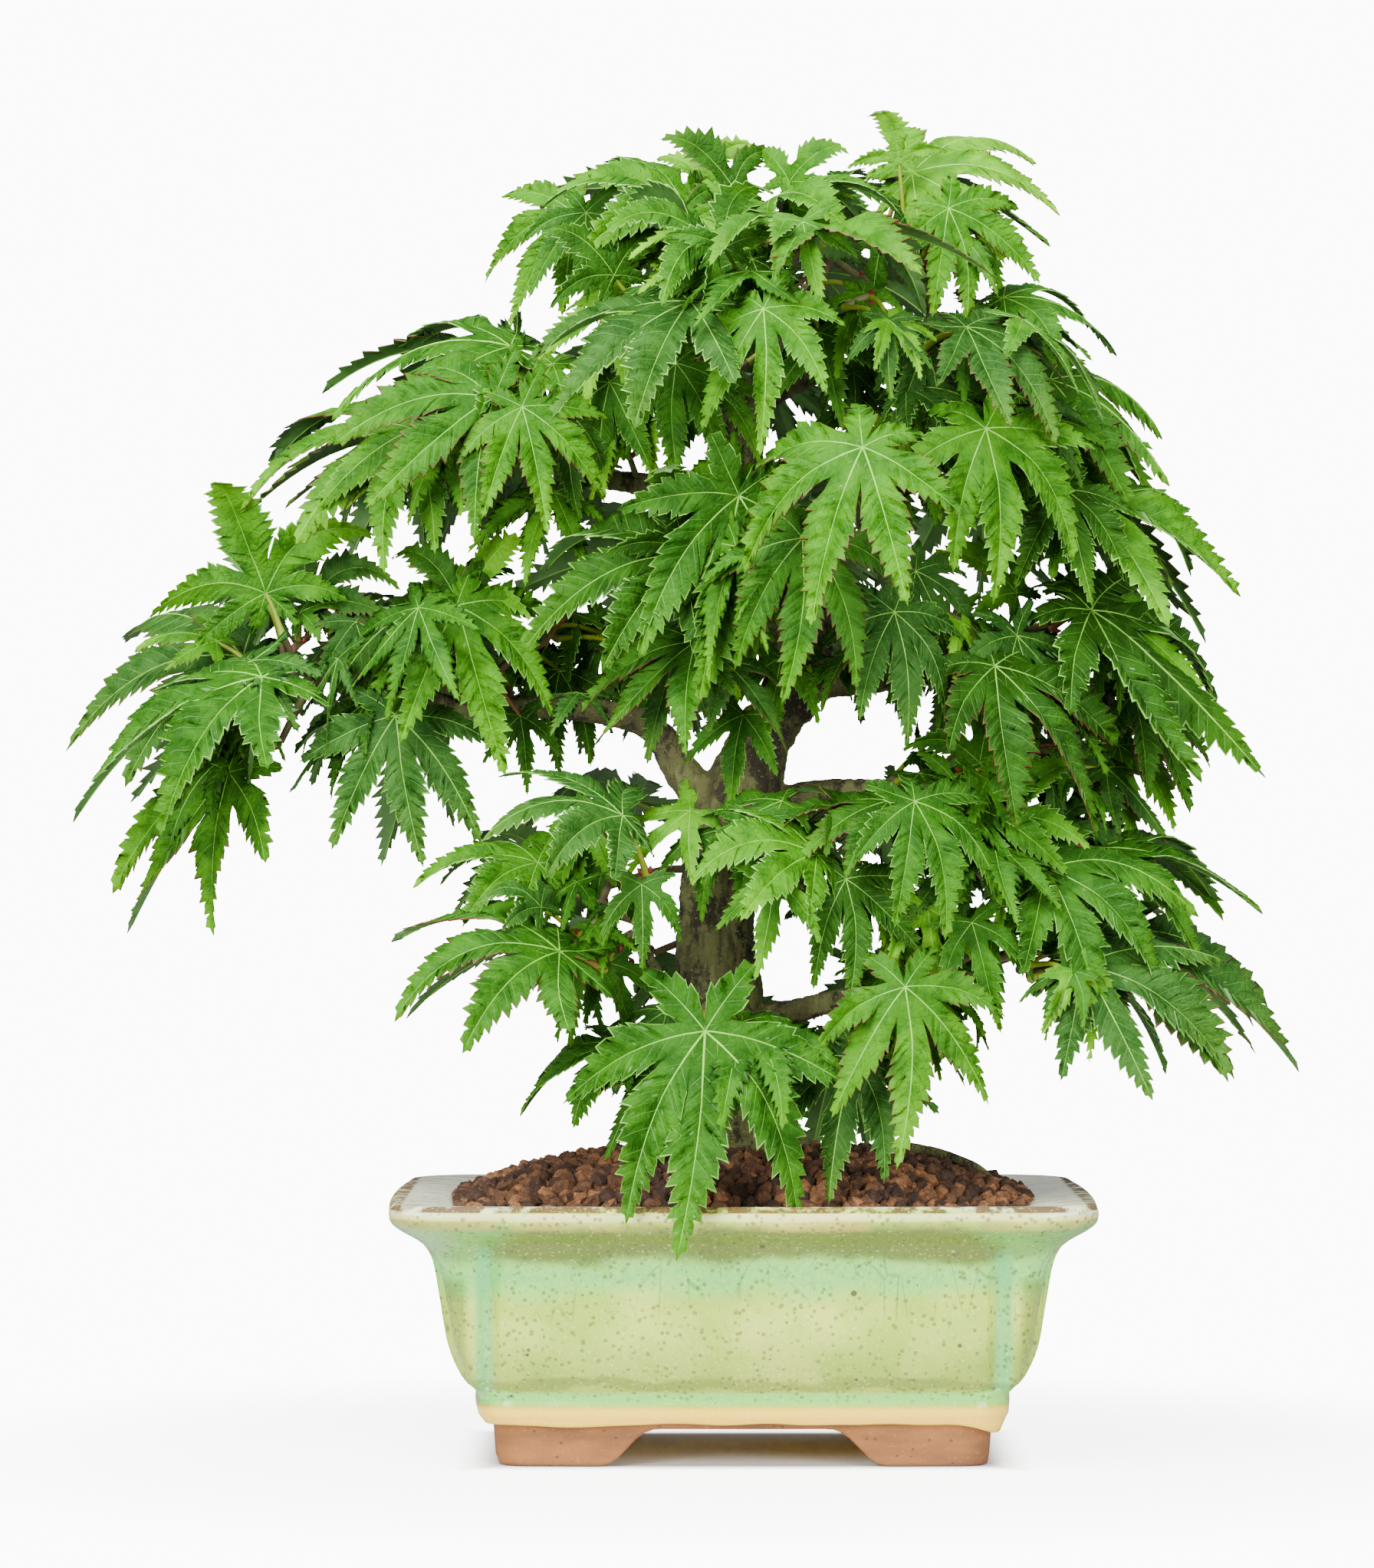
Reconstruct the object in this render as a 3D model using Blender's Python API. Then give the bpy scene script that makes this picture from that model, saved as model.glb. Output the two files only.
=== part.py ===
"""Japanese maple bonsai in its glazed pot.

The plant is modelled in millimetres about the pot's upright axis, with the ground at z = 0, and each
finished mesh is moved so that the middle of the whole plant's underside is the origin.
The side that the tree is shown from faces -Y, and +X is to its right.
"""

import math
import random

import bmesh
import bpy
import numpy as np
from mathutils import Vector
from mathutils.bvhtree import BVHTree

MM = 0.001
CLEARANCE = 0.3
SEED = 41

POT_WIDTH = 149.0
POT_DEPTH_LESS = 30.0
POT_HEIGHT = 55.2
FOOT_HEIGHT = 9.3
FOOT_WALL = 9.0
FOOT_HALF_LOW = 52.4
FOOT_HALF_HIGH = 53.6
FOOT_CORNER = 7.0
FOOT_INNER_CORNER = 3.0
FOOT_SHOULDER = 1.0
FOOT_BITE = 2.0
PANEL_BULGE = 1.3
GROOVE_WIDTH = 3.2
GROOVE_DEPTH = 2.8
GROOVE_SETBACK = 1.5
GROOVE_X = 52.0
FLOOR_THICKNESS = 7.0
FRONT_ARCH = (30.0, 18.0)
SIDE_ARCH = (13.0, 8.0)
ARCH_HEIGHT = 7.8
ARCH_WAVE = 0.12
DRAIN_RADIUS = 5.0
DRAIN_SIDES = 16

SOIL_EDGE_Z = 53.0
SOIL_TOP_Z = 63.2
SOIL_CORNER = 9.0
SOIL_GAP_LOW = 0.4
SOIL_GAP_HIGH = 0.6
SEAT_INSET = 0.2
SOIL_SQUARENESS = 2.6
SOIL_RINGS = (0.9, 0.76, 0.56)
TRUNK_SEAT_RADIUS = 19.0

# Outer wall of the pot from the foot up: height, half width, corner radius, depth of the corner groove.
POT_OUTSIDE = (
    (FOOT_HEIGHT, 55.0, 8.0, 0.0),
    (12.6, 56.6, 8.0, 0.0),
    (15.6, 56.6, 6.0, 0.1),
    (19.0, 59.8, 5.0, 0.9),
    (25.0, 62.4, 6.0, 1.0),
    (34.0, 64.0, 8.0, 1.0),
    (42.5, 65.6, 9.0, 0.8),
    (46.5, 68.0, 11.0, 0.3),
    (49.4, 72.2, 13.0, 0.0),
    (52.4, POT_WIDTH / 2, 14.0, 0.0),
    (POT_HEIGHT, 73.0, 13.5, 0.0),
)
# Lip and inner wall, from the lip down to the floor: height, half width, corner radius.
POT_INSIDE = (
    (54.4, 61.6, 10.0),
    (52.6, 59.6, 9.5),
    (FOOT_HEIGHT + FLOOR_THICKNESS, 51.5, 7.0),
)

# Middle line of the trunk: x, y, z and radius.
TRUNK_LINE = (
    (-0.4, 0.0, SOIL_TOP_Z + CLEARANCE, 11.6),
    (-3.7, -0.5, 80.0, 11.0),
    (-4.8, -0.5, 96.0, 9.6),
    (-5.5, 0.0, 110.0, 8.3),
    (-4.5, 1.0, 129.0, 8.0),
    (-0.4, 1.5, 139.0, 8.2),
    (5.0, 2.0, 153.0, 6.5),
    (10.5, 1.5, 160.0, 6.0),
    (13.4, 0.5, 171.0, 5.9),
    (11.8, 0.0, 184.0, 5.7),
    (3.7, 0.5, 198.0, 5.4),
    (-0.4, 1.5, 210.0, 5.0),
    (2.8, 2.5, 222.0, 4.2),
    (12.0, 2.0, 238.0, 3.2),
    (15.0, 1.0, 248.0, 2.4),
)
FLARE_HEIGHT = 15.0
FLARE_REACH = 4.2
FLARE_RIDGES = 5
TRUNK_SIDES = 12
LIMB_SIDES = 7
LINE_STEPS = 2

# The surface root: start and end on the soil, its bend sideways, its rise and its radii.
ROOT_START = (30.0, 12.0)
ROOT_END = (52.0, 2.0)
ROOT_BEND = 1.5
ROOT_RISE = (1.9, 0.8)
ROOT_RADII = (1.4, 0.84)
ROOT_SIDES = 6

# Each limb: the limb it leaves, then its line as x, y, z from inside that limb to its tip, then radii.
LIMBS = {
    "bough_left": ("trunk", ((-3, 1, 134), (-12, 2, 143), (-20, 3, 154), (-38, 3, 158), (-58, 1, 157.5),
                             (-73, 0, 161.5), (-86, -1, 164)), (4.0, 3.4, 3.0, 2.6, 2.3, 2.0, 1.7)),
    "bough_left_fork": ("bough_left", ((-50, 2, 157.6), (-53, -5, 161), (-57, -9, 166), (-60, -10, 171)),
                        (1.8, 1.5, 1.3, 1.2)),
    "bough_right_low": ("trunk", ((-2, 1, 134), (9, 0, 138.5), (20, -3, 140.5), (30, -7, 141),
                                  (44, -10, 143.5)), (3.2, 2.6, 2.2, 1.9, 1.5)),
    "bough_lower_left": ("trunk", ((-5, 0, 93), (-14, -9, 96), (-19, -14, 102), (-21, -18, 108)),
                         (3.0, 2.3, 1.9, 1.6)),
    "bough_lower_right": ("trunk", ((-4, 0, 88), (10, -6, 93), (25, -12, 97), (38, -16, 98), (50, -18, 104)),
                          (3.2, 2.5, 2.1, 1.8, 1.4)),
    "bough_upper_left": ("trunk", ((2, 1, 201), (-9, 0, 204), (-22, -2, 205.5), (-34, -4, 207),
                                   (-39, -4, 211)), (3.2, 2.6, 2.3, 1.9, 1.5)),
    "bough_upper_right": ("trunk", ((4, 2, 224), (13, 1, 228), (25, 0, 231), (34, -1, 233)),
                          (2.7, 2.2, 1.9, 1.5)),
    "bough_right_upper": ("trunk", ((-1, 2, 205), (9, 1, 208), (21, -1, 211), (32, -3, 213), (42, -5, 216)),
                          (2.9, 2.4, 2.0, 1.7, 1.4)),
    "bough_right_middle": ("trunk", ((11, 1, 162), (21, 2, 163), (30, 1, 163.5), (42, -2, 166),
                                     (56, -5, 170)), (3.0, 2.5, 2.2, 1.8, 1.4)),
    "bough_front": ("trunk", ((13, 0, 172), (13, -9, 174), (12, -20, 178), (10, -30, 184)),
                    (2.6, 2.2, 1.8, 1.5)),
    "bough_back_low": ("trunk", ((-5, 1, 118), (-3, 12, 121), (2, 26, 126), (6, 38, 128)),
                       (2.8, 2.3, 1.9, 1.5)),
    "bough_back_middle": ("trunk", ((12, 1, 166), (10, 12, 170), (6, 26, 176), (4, 38, 181)),
                          (2.8, 2.3, 1.9, 1.5)),
    "bough_back_top": ("trunk", ((0, 2, 213), (-2, 11, 218), (-4, 22, 226), (-4, 30, 232)),
                       (2.4, 1.9, 1.6, 1.3)),
    "pruned_stub": ("trunk", ((10, 1, 178), (16, -2, 181), (22, -5, 183.5)), (2.6, 2.4, 2.2)),
}

# Leaves that show from the front, by mass. Each row is a leaf: the hub where its lobes meet (x, y, z),
# the way its middle lobe points as seen from the front (0 right, 90 up), its lean towards the front,
# its roll about the middle lobe, and the length of the middle lobe.
LEAVES = {
    "foliage_left_tip": ("bough_left", (
        (-101, -6, 182, 108, 15, 0, 30),
        (-101, -18, 164, 188, 12, 0, 49),
        (-109, -4, 144, 226, 6, 10, 42),
        (-107, 4, 169, 170, 4, 0, 48),
    )),
    "foliage_left_inner": ("bough_left_fork", (
        (-73, -16, 156, 282, 20, 0, 36),
        (-60, -20, 179, 292, 16, 0, 37),
        (-66, -8, 180, 200, 10, 0, 32),
    )),
    "foliage_upper_left": ("bough_upper_left", (
        (-49, -10, 234, 165, 4, 0, 42),
        (-52, -28, 222, 222, 16, 0, 38),
        (-46, -32, 220, 292, 18, 0, 29),
        (-71, -8, 217, 174, 6, 10, 42),
        (-69, -20, 216, 246, 16, 0, 33),
    )),
    "foliage_top_left": ("trunk", (
        (-12, -12, 263, 142, 10, 0, 34),
        (-6, -30, 253, 158, 14, 0, 33),
        (-27, -24, 248, 118, 10, 0, 22),
        (-36, -4, 263, 225, 6, 20, 27),
        (-11, -44, 241, 198, 20, 0, 44),
    )),
    "foliage_top_front": ("trunk", (
        (4, -52, 239, 275, 24, 0, 30),
        (-4, -38, 252, 92, 8, 0, 18),
        (9, -44, 259, 195, 20, 0, 22),
        (14, -42, 256, 4, 16, 0, 41),
        (6, -24, 264, 20, 10, 0, 33),
    )),
    "foliage_top_right": ("bough_upper_right", (
        (36, -6, 271, 2, 4, 0, 37),
        (33, -12, 273, 95, 6, 0, 14),
        (43, -24, 262, 300, 12, 0, 27),
        (55, -14, 244, 8, 8, 0, 29),
        (58, -26, 238, 345, 14, 0, 28),
        (46, -40, 236, 335, 18, 0, 31),
    )),
    "foliage_right_upper": ("bough_right_upper", (
        (65, -10, 227, 345, 10, 0, 36),
        (65, -22, 218, 300, 14, 0, 21),
        (69, -14, 205, 345, 8, 0, 47),
        (50, -42, 215, 286, 16, 0, 39),
        (67, -28, 203, 275, 12, 0, 27),
    )),
    "foliage_right_middle": ("bough_right_middle", (
        (73, -20, 178, 330, 8, 0, 50),
        (52, -38, 166, 318, 14, 0, 41),
        (31, -44, 177, 285, 16, 0, 30),
        (83, -6, 161, 312, 4, 0, 28),
        (58, -8, 182, 128, 8, 0, 20),
    )),
    "foliage_right_low": ("bough_right_low", (
        (54, -28, 134, 62, 12, 0, 25),
        (64, -14, 146, 285, 8, 0, 20),
        (77, -6, 145, 320, 6, 0, 22),
        (35, -50, 138, 306, 18, 0, 31),
        (47, -34, 137, 300, 14, 0, 28),
        (63, -36, 124, 345, 14, 0, 39),
        (75, -14, 128, 2, 6, 0, 41),
    )),
    "foliage_front": ("bough_front", (
        (24, -64, 210, 240, 18, 0, 43),
        (12, -52, 192, 272, 18, 0, 36),
        (-1, -44, 201, 258, 10, 0, 43),
        (-12, -42, 189, 174, 16, 0, 40),
        (-2, -36, 197, 150, 12, 0, 17),
    )),
    "foliage_heart": ("trunk", (
        (-10, -34, 171, 214, 16, 0, 31),
        (-4, -30, 167, 322, 16, 0, 23),
        (0, -28, 156, 252, 12, 0, 21),
        (27, -30, 174, 214, 12, 0, 22),
    )),
    "foliage_lower_left": ("bough_lower_left", (
        (-25, -46, 135, 152, 16, 0, 33),
        (-38, -44, 107, 160, 14, 0, 44),
        (-21, -54, 121, 270, 20, 0, 19),
        (-43, -20, 125, 160, 8, 0, 29),
        (-42, -32, 116, 128, 8, 0, 17),
    )),
    "foliage_low_front": ("trunk", (
        (-8, -54, 91, 272, 11, 0, 51),
        (-26, -24, 87, 188, 10, 0, 26),
        (-19, -32, 81, 226, 14, 0, 21),
    )),
    "foliage_waist": ("trunk", (
        (15, -46, 127, 150, 14, 0, 33),
        (6, -54, 122, 262, 20, 0, 21),
        (21, -46, 122, 286, 16, 0, 26),
    )),
    "foliage_lower_right": ("bough_lower_right", (
        (33, -52, 100, 278, 18, 0, 36),
        (23, -42, 85, 250, 14, 0, 32),
        (70, -42, 104, 348, 12, 0, 39),
        (77, -24, 110, 350, 8, 0, 50),
        (47, -44, 113, 285, 14, 0, 23),
        (38, -40, 116, 274, 12, 0, 21),
    )),
    "foliage_back_low": ("bough_back_low", ()),
    "foliage_back_middle": ("bough_back_middle", ()),
    "foliage_back_top": ("bough_back_top", ()),
}
# Where a mass leaves the trunk itself, the place and the way that its stem starts.
TRUNK_STARTS = {
    "foliage_top_left": ((4.2, 2.5, 225), (-0.9, -0.45, 0.5)),
    "foliage_top_front": ((15.0, 1.0, 248), (-0.1, -0.25, 1.0)),
    "foliage_heart": ((9.0, 1.6, 158), (-0.3, -1.0, 0.3)),
    "foliage_low_front": ((-4.5, -0.5, 92), (-0.15, -1.0, 0.2)),
    "foliage_waist": ((-5.0, 0.8, 121), (0.5, -1.0, 0.2)),
}
# The far side is filled by a twin of each front leaf: the mass that takes it, where it isn't its own.
TWIN_MASS = {
    "foliage_top_left": "foliage_back_top",
    "foliage_top_front": "foliage_back_top",
    "foliage_front": "foliage_back_middle",
    "foliage_heart": "foliage_back_middle",
    "foliage_waist": "foliage_back_low",
    "foliage_low_front": "foliage_back_low",
    "foliage_lower_left": "foliage_back_low",
}
TWIN_SPAN = 0.94
TWIN_JITTER = 3.0
TWIN_TURN_JITTER = 14
TWIN_STEP_BACK = 5.0
TWIN_LEAST_SPAN = 27.5
TWIN_LEAST_FRONT = -5.0
TWIN_TURN_OUT = 80.0
FRONT_TURN_OUT = 12.0

# Lobes of a leaf, from one side to the other: angle from the middle lobe, length as a share of it, and
# whether the lobe is long enough to have a waist and a bend of its own.
LOBES = ((-84, 0.6, False), (-41, 0.92, True), (0, 1.0, True), (41, 0.92, True), (84, 0.6, False))
SMALL_LOBES = ((-62, 0.75, False), (0, 1.0, True), (62, 0.75, False))
SMALL_SPAN = 24.0
LOBE_WAIST = 0.54
LOBE_HALF_WIDTH = 0.145
SINUS_RADIUS = 0.28
BASE_ANGLE = 122
BASE_RADIUS = 0.16
NOTCH_RADIUS = 0.1
PETIOLE_SEAT = 0.045
BLADE_THICKNESS = 1.1
DROOP = 1.15
DROOP_STEPS = 6
FACE_TILT = 32.0
SIDEWAYS_TILT = 30.0

PETIOLE_LENGTH = 17.0
PETIOLE_RADIUS = 0.75
TWIG_RADIUS = 1.0
STEM_RADIUS = 1.35
STEM_REACH = 0.5
STEM_BEND = 0.2
STEM_STAND_OFF = 0.25
STEM_TAPER = 0.07
# How far a petiole's line back from the hub keeps to the stem, to the middle lobe and to the upright.
PETIOLE_AWAY = 0.6
PETIOLE_ALONG = 0.35
PETIOLE_UP = 0.3
PETIOLE_SHARE = 0.45
JOINT_PULL = 0.25
TWIG_ARCH = 0.06
SPARE = 0.3
SHOOT_TRIES = [(nudge, sway) for nudge in (0, -3, 3, -6, 6, -9, 9) for sway in (0.0, 0.15, -0.15)]
BLADE_TRIES = [(lean, roll, shift) for shift in (0, -4, 4, -8, 8) for lean in (0, 8, -8, 16, -14, 24)
               for roll in (0, 12, -12, 24, -24)]


def catmull(points, per_span):
    """Points along a smooth curve through the given points."""
    pts = [np.array(p, float) for p in points]
    ends = [2 * pts[0] - pts[1]] + pts + [2 * pts[-1] - pts[-2]]
    line = []
    for i in range(1, len(ends) - 2):
        p0, p1, p2, p3 = ends[i - 1:i + 3]
        for k in range(per_span):
            t = k / per_span
            line.append(0.5 * (2 * p1 + (p2 - p0) * t + (2 * p0 - 5 * p1 + 4 * p2 - p3) * t * t
                               + (3 * p1 - p0 - 3 * p2 + p3) * t ** 3))
    line.append(pts[-1])
    return line


def unit(vector):
    """The vector at length one."""
    return np.array(vector, float) / max(np.linalg.norm(vector), 1e-9)


def skin_rings(rings):
    """A closed skin over rings of equal point counts, with a flat cap at each end."""
    count = len(rings[0])
    verts = [tuple(p) for ring in rings for p in ring]
    faces = []
    for r in range(len(rings) - 1):
        for k in range(count):
            a = r * count + k
            b = r * count + (k + 1) % count
            faces.append((a, b, b + count, a + count))
    faces.append(tuple(reversed(range(count))))
    last = (len(rings) - 1) * count
    faces.append(tuple(range(last, last + count)))
    return verts, faces


def tube(points, radii, sides, shape=None):
    """A tapered round limb along a line; shape(ring, angle) may swell its radius."""
    line = [np.array(p, float) for p in points]
    rings = []
    side = None
    for i, p in enumerate(line):
        along = unit(line[min(i + 1, len(line) - 1)] - line[max(i - 1, 0)])
        if side is None:
            side = np.array((0.0, 1.0, 0.0)) if abs(along[1]) < 0.9 else np.array((1.0, 0.0, 0.0))
        side = unit(side - along * np.dot(side, along))
        other = np.cross(along, side)
        ring = []
        for k in range(sides):
            angle = 2 * math.pi * k / sides
            radius = radii[i] * (shape(i, angle) if shape else 1.0)
            ring.append(p + radius * (math.cos(angle) * side + math.sin(angle) * other))
        rings.append(ring)
    return skin_rings(rings)


def add_object(name, verts, faces, material=None):
    """A mesh object, its faces turned outwards, from points in millimetres."""
    bm = bmesh.new()
    made = [bm.verts.new(Vector(v) * MM) for v in verts]
    for face in faces:
        bm.faces.new([made[i] for i in face])
    bmesh.ops.recalc_face_normals(bm, faces=bm.faces)
    mesh = bpy.data.meshes.new(name)
    bm.to_mesh(mesh)
    bm.free()
    if material:
        mesh.materials.append(material)
    obj = bpy.data.objects.new(name, mesh)
    bpy.context.collection.objects.link(obj)
    return obj


def make_material(name, color, roughness, metallic=0.0):
    """A Principled finish for one kind of part."""
    material = bpy.data.materials.new(name)
    material.use_nodes = True
    shader = material.node_tree.nodes["Principled BSDF"]
    shader.inputs["Base Color"].default_value = (*color, 1.0)
    shader.inputs["Roughness"].default_value = roughness
    shader.inputs["Metallic"].default_value = metallic
    return material


def tree_of(obj):
    """A search tree over the surface of an object, in millimetres."""
    verts = [v.co / MM for v in obj.data.vertices]
    return BVHTree.FromPolygons(verts, [tuple(p.vertices) for p in obj.data.polygons])


def keep_largest(obj):
    """Drops every loose scrap and every sealed hollow, so that one outer body is left."""
    bm = bmesh.new()
    bm.from_mesh(obj.data)
    bmesh.ops.remove_doubles(bm, verts=bm.verts, dist=0.000001)
    bmesh.ops.triangulate(bm, faces=bm.faces)
    left = set(bm.faces)
    bodies = []
    while left:
        stack = [left.pop()]
        body = set(stack)
        while stack:
            for edge in stack.pop().edges:
                for face in edge.link_faces:
                    if len(edge.link_faces) == 2 and face in left:
                        left.remove(face)
                        body.add(face)
                        stack.append(face)
        bodies.append(body)
    bodies.sort(key=lambda body: sum(face.calc_area() for face in body))
    scraps = [face for body in bodies[:-1] for face in body]
    bmesh.ops.delete(bm, geom=scraps, context="FACES")
    bm.to_mesh(obj.data)
    bm.free()


def apply_modifiers(obj):
    """Makes the object's evaluated mesh its own and takes its modifiers off."""
    graph = bpy.context.evaluated_depsgraph_get()
    graph.update()
    mesh = bpy.data.meshes.new_from_object(obj.evaluated_get(graph))
    obj.modifiers.clear()
    old = obj.data
    obj.data = mesh
    bpy.data.meshes.remove(old)
    mesh.name = obj.name


def boolean(obj, other, operation, solver="EXACT"):
    """Joins or cuts an object with another one, or with a whole collection."""
    mod = obj.modifiers.new(operation.title(), "BOOLEAN")
    mod.operation = operation
    mod.solver = solver
    if isinstance(other, bpy.types.Collection):
        mod.operand_type = "COLLECTION"
        mod.collection = other
    else:
        mod.object = other
    apply_modifiers(obj)


def plan(half_width, corner, groove, z, x_groove=None):
    """One level ring of the pot: bowed panels, a groove at each panel's end, and round corners."""
    half_depth = half_width - POT_DEPTH_LESS / 2
    reach = PANEL_BULGE + GROOVE_SETBACK * groove
    width = GROOVE_WIDTH
    radius = corner
    edge = half_width - reach - radius - width
    if x_groove is not None:
        edge = x_groove
        radius = half_width - reach - edge - width
    short = edge - POT_DEPTH_LESS / 2
    quarter = []
    for t in (0.0, 0.55, 0.96):
        quarter.append((t * edge, half_depth - PANEL_BULGE * t * t))
    quarter.append((edge + width / 2, half_depth - PANEL_BULGE - GROOVE_DEPTH * groove))
    for k in range(4):
        angle = math.pi / 2 * (1 - k / 3)
        quarter.append((edge + width + radius * math.cos(angle), short + width + radius * math.sin(angle)))
    quarter.append((half_width - PANEL_BULGE - GROOVE_DEPTH * groove, short + width / 2))
    for t in (0.96, 0.5):
        quarter.append((half_width - PANEL_BULGE * t * t, t * short))
    quarter.append((half_width, 0.0))
    ring = [(x, -y) for x, y in quarter]
    ring += [(x, y) for x, y in reversed(quarter[:-1])]
    ring += [(-x, y) for x, y in quarter[1:]]
    ring += [(-x, -y) for x, y in reversed(quarter[1:-1])]
    return [(x, y, z) for x, y in ring]


def pot_inner_ring(level, inset):
    """A ring of the pot's inner wall, moved in by a clearance."""
    z, half_width, corner = level
    return plan(half_width - inset, corner, 0.0, z)


def build_pot(material):
    """The pot: bowl, thick lip, grooved corners and an arched foot, fired as one piece."""
    rings = []
    for z, half_width, corner, groove in POT_OUTSIDE:
        rings.append(plan(half_width, corner, groove, z, GROOVE_X if groove > 0.5 else None))
    for level in POT_INSIDE:
        rings.append(pot_inner_ring(level, 0.0))
    pot = add_object("pot", *skin_rings(rings), material)

    top = FOOT_HEIGHT + FOOT_BITE
    inner = FOOT_HALF_HIGH - FOOT_WALL
    foot_rings = [
        plan(FOOT_HALF_LOW, FOOT_CORNER, 0.0, 0.0),
        plan(FOOT_HALF_HIGH, FOOT_CORNER, 0.0, FOOT_HEIGHT - FOOT_SHOULDER),
        plan(FOOT_HALF_HIGH, FOOT_CORNER, 0.0, top),
        plan(inner, FOOT_INNER_CORNER, 0.0, top),
        plan(inner, FOOT_INNER_CORNER, 0.0, 0.0),
    ]
    verts, faces = skin_rings(foot_rings)
    faces = faces[:-2]
    count = len(foot_rings[0])
    base = count * (len(foot_rings) - 1)
    faces += [(base + k, base + (k + 1) % count, (k + 1) % count, k) for k in range(count)]
    foot = add_object("foot", verts, faces)
    for (low, high), turned in ((FRONT_ARCH, False), (SIDE_ARCH, True)):
        cutter = arch_cutter(low, high, turned)
        boolean(foot, cutter, "DIFFERENCE")
        bpy.data.objects.remove(cutter)
    boolean(pot, foot, "UNION")
    bpy.data.objects.remove(foot)

    ends = ((0, 0, FOOT_HEIGHT - DRAIN_RADIUS), (0, 0, FOOT_HEIGHT + FLOOR_THICKNESS + DRAIN_RADIUS))
    drain = add_object("drain", *tube(ends, (DRAIN_RADIUS, DRAIN_RADIUS), DRAIN_SIDES))
    drain.hide_render = True
    drain.display_type = "WIRE"
    boolean(pot, drain, "DIFFERENCE")
    bpy.data.objects.remove(drain)
    keep_largest(pot)
    return pot


def arch_cutter(low, high, turned):
    """A bar with a cloud-shaped outline that opens the foot from one face to the other."""
    outline = [(low, -2.0), (low, 0.0)]
    for k in range(1, 4):
        t = k / 4
        ease = t - ARCH_WAVE * math.sin(2 * math.pi * t)
        outline.append((low + (high - low) * t, ARCH_HEIGHT * ease))
    outline.append((high, ARCH_HEIGHT))
    outline = outline + [(-x, z) for x, z in reversed(outline)]
    rings = []
    for end in (-POT_WIDTH, POT_WIDTH):
        rings.append([((end, x, z) if turned else (x, end, z)) for x, z in outline])
    cutter = add_object("arch_cutter", *skin_rings(rings))
    cutter.hide_render = True
    cutter.display_type = "WIRE"
    return cutter


def soil_height(x, y):
    """Height of the soil's mound above the ground at a place in the pot."""
    half = POT_INSIDE[0][1]
    power = SOIL_SQUARENESS
    share = (abs(x / half) ** power + abs(y / (half - POT_DEPTH_LESS / 2)) ** power) ** (1 / power)
    near = math.hypot(x - TRUNK_LINE[0][0], y - TRUNK_LINE[0][1])
    mound = SOIL_EDGE_Z + (SOIL_TOP_Z - SOIL_EDGE_Z) * (1 - min(share, 1.0) ** 3)
    return SOIL_TOP_Z if near < TRUNK_SEAT_RADIUS else min(mound, SOIL_TOP_Z)


def build_soil(material):
    """The filling of the pot, mounded towards the trunk, with a level seat under it."""
    floor = POT_INSIDE[-1]
    low = pot_inner_ring((floor[0] + CLEARANCE, floor[1], floor[2]), SOIL_GAP_LOW)
    wall_rise = (SOIL_EDGE_Z - floor[0]) / (POT_INSIDE[1][0] - floor[0])
    edge_width = floor[1] + (POT_INSIDE[1][1] - floor[1]) * min(wall_rise, 1.0)
    high = pot_inner_ring((SOIL_EDGE_Z, edge_width, SOIL_CORNER), SOIL_GAP_HIGH)
    rings = [low, high]
    for share in SOIL_RINGS:
        rings.append([(x * share, y * share, soil_height(x * share, y * share)) for x, y, z in high])
    centre = np.array(TRUNK_LINE[0][:2])
    seat = []
    for x, y, z in high:
        place = centre + (TRUNK_SEAT_RADIUS - SEAT_INSET) * unit(np.array((x, y)) - centre)
        seat.append((place[0], place[1], SOIL_TOP_Z))
    rings.append(seat)
    return add_object("soil", *skin_rings(rings), material)


def trunk_rings():
    """The trunk's smooth line with its radii."""
    line = catmull(TRUNK_LINE, LINE_STEPS)
    return [p[:3] for p in line], [p[3] for p in line]


def flare(z, angle):
    """How much the trunk swells into its surface roots near the soil."""
    rise = (z - TRUNK_LINE[0][2]) / FLARE_HEIGHT
    if rise > 1:
        return 0.0
    return FLARE_REACH * (1 - rise) ** 2 * (0.55 + 0.45 * math.cos(FLARE_RIDGES * angle + 0.6))


def build_trunk(material, extra=0.0, name="trunk"):
    """The trunk, from its level cut on the soil to its tip; extra thickens it for a clearance cut."""
    line, radii = trunk_rings()
    grown = [r + extra for r in radii]

    def swell(i, angle):
        return 1 + flare(line[i][2], angle) / grown[i]

    verts, faces = tube(line, grown, TRUNK_SIDES, swell)
    ground = TRUNK_LINE[0][2]
    level = [(x, y, ground if i < TRUNK_SIDES else z) for i, (x, y, z) in enumerate(verts)]
    return add_object(name, level, faces, material)


def limb_line(name):
    """A limb's smooth line with its radii."""
    points, radii = LIMBS[name][1:]
    line = catmull([(*p, r) for p, r in zip(points, radii)], LINE_STEPS)
    return [p[:3] for p in line], [p[3] for p in line]


def build_limb(name, material):
    """One tapering limb, its root cut to seat on the limb it leaves."""
    line, radii = limb_line(name)
    verts, faces = tube(line, radii, LIMB_SIDES)
    obj = add_object(name, verts, faces, material)
    parent = LIMBS[name][0]
    if parent == "trunk":
        cutter = build_trunk(None, CLEARANCE, "seat_cutter")
    else:
        line, radii = limb_line(parent)
        verts, faces = tube(line, [r + CLEARANCE for r in radii], LIMB_SIDES)
        cutter = add_object("seat_cutter", verts, faces)
    boolean(obj, cutter, "DIFFERENCE")
    bpy.data.objects.remove(cutter)
    keep_largest(obj)
    return obj


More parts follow.
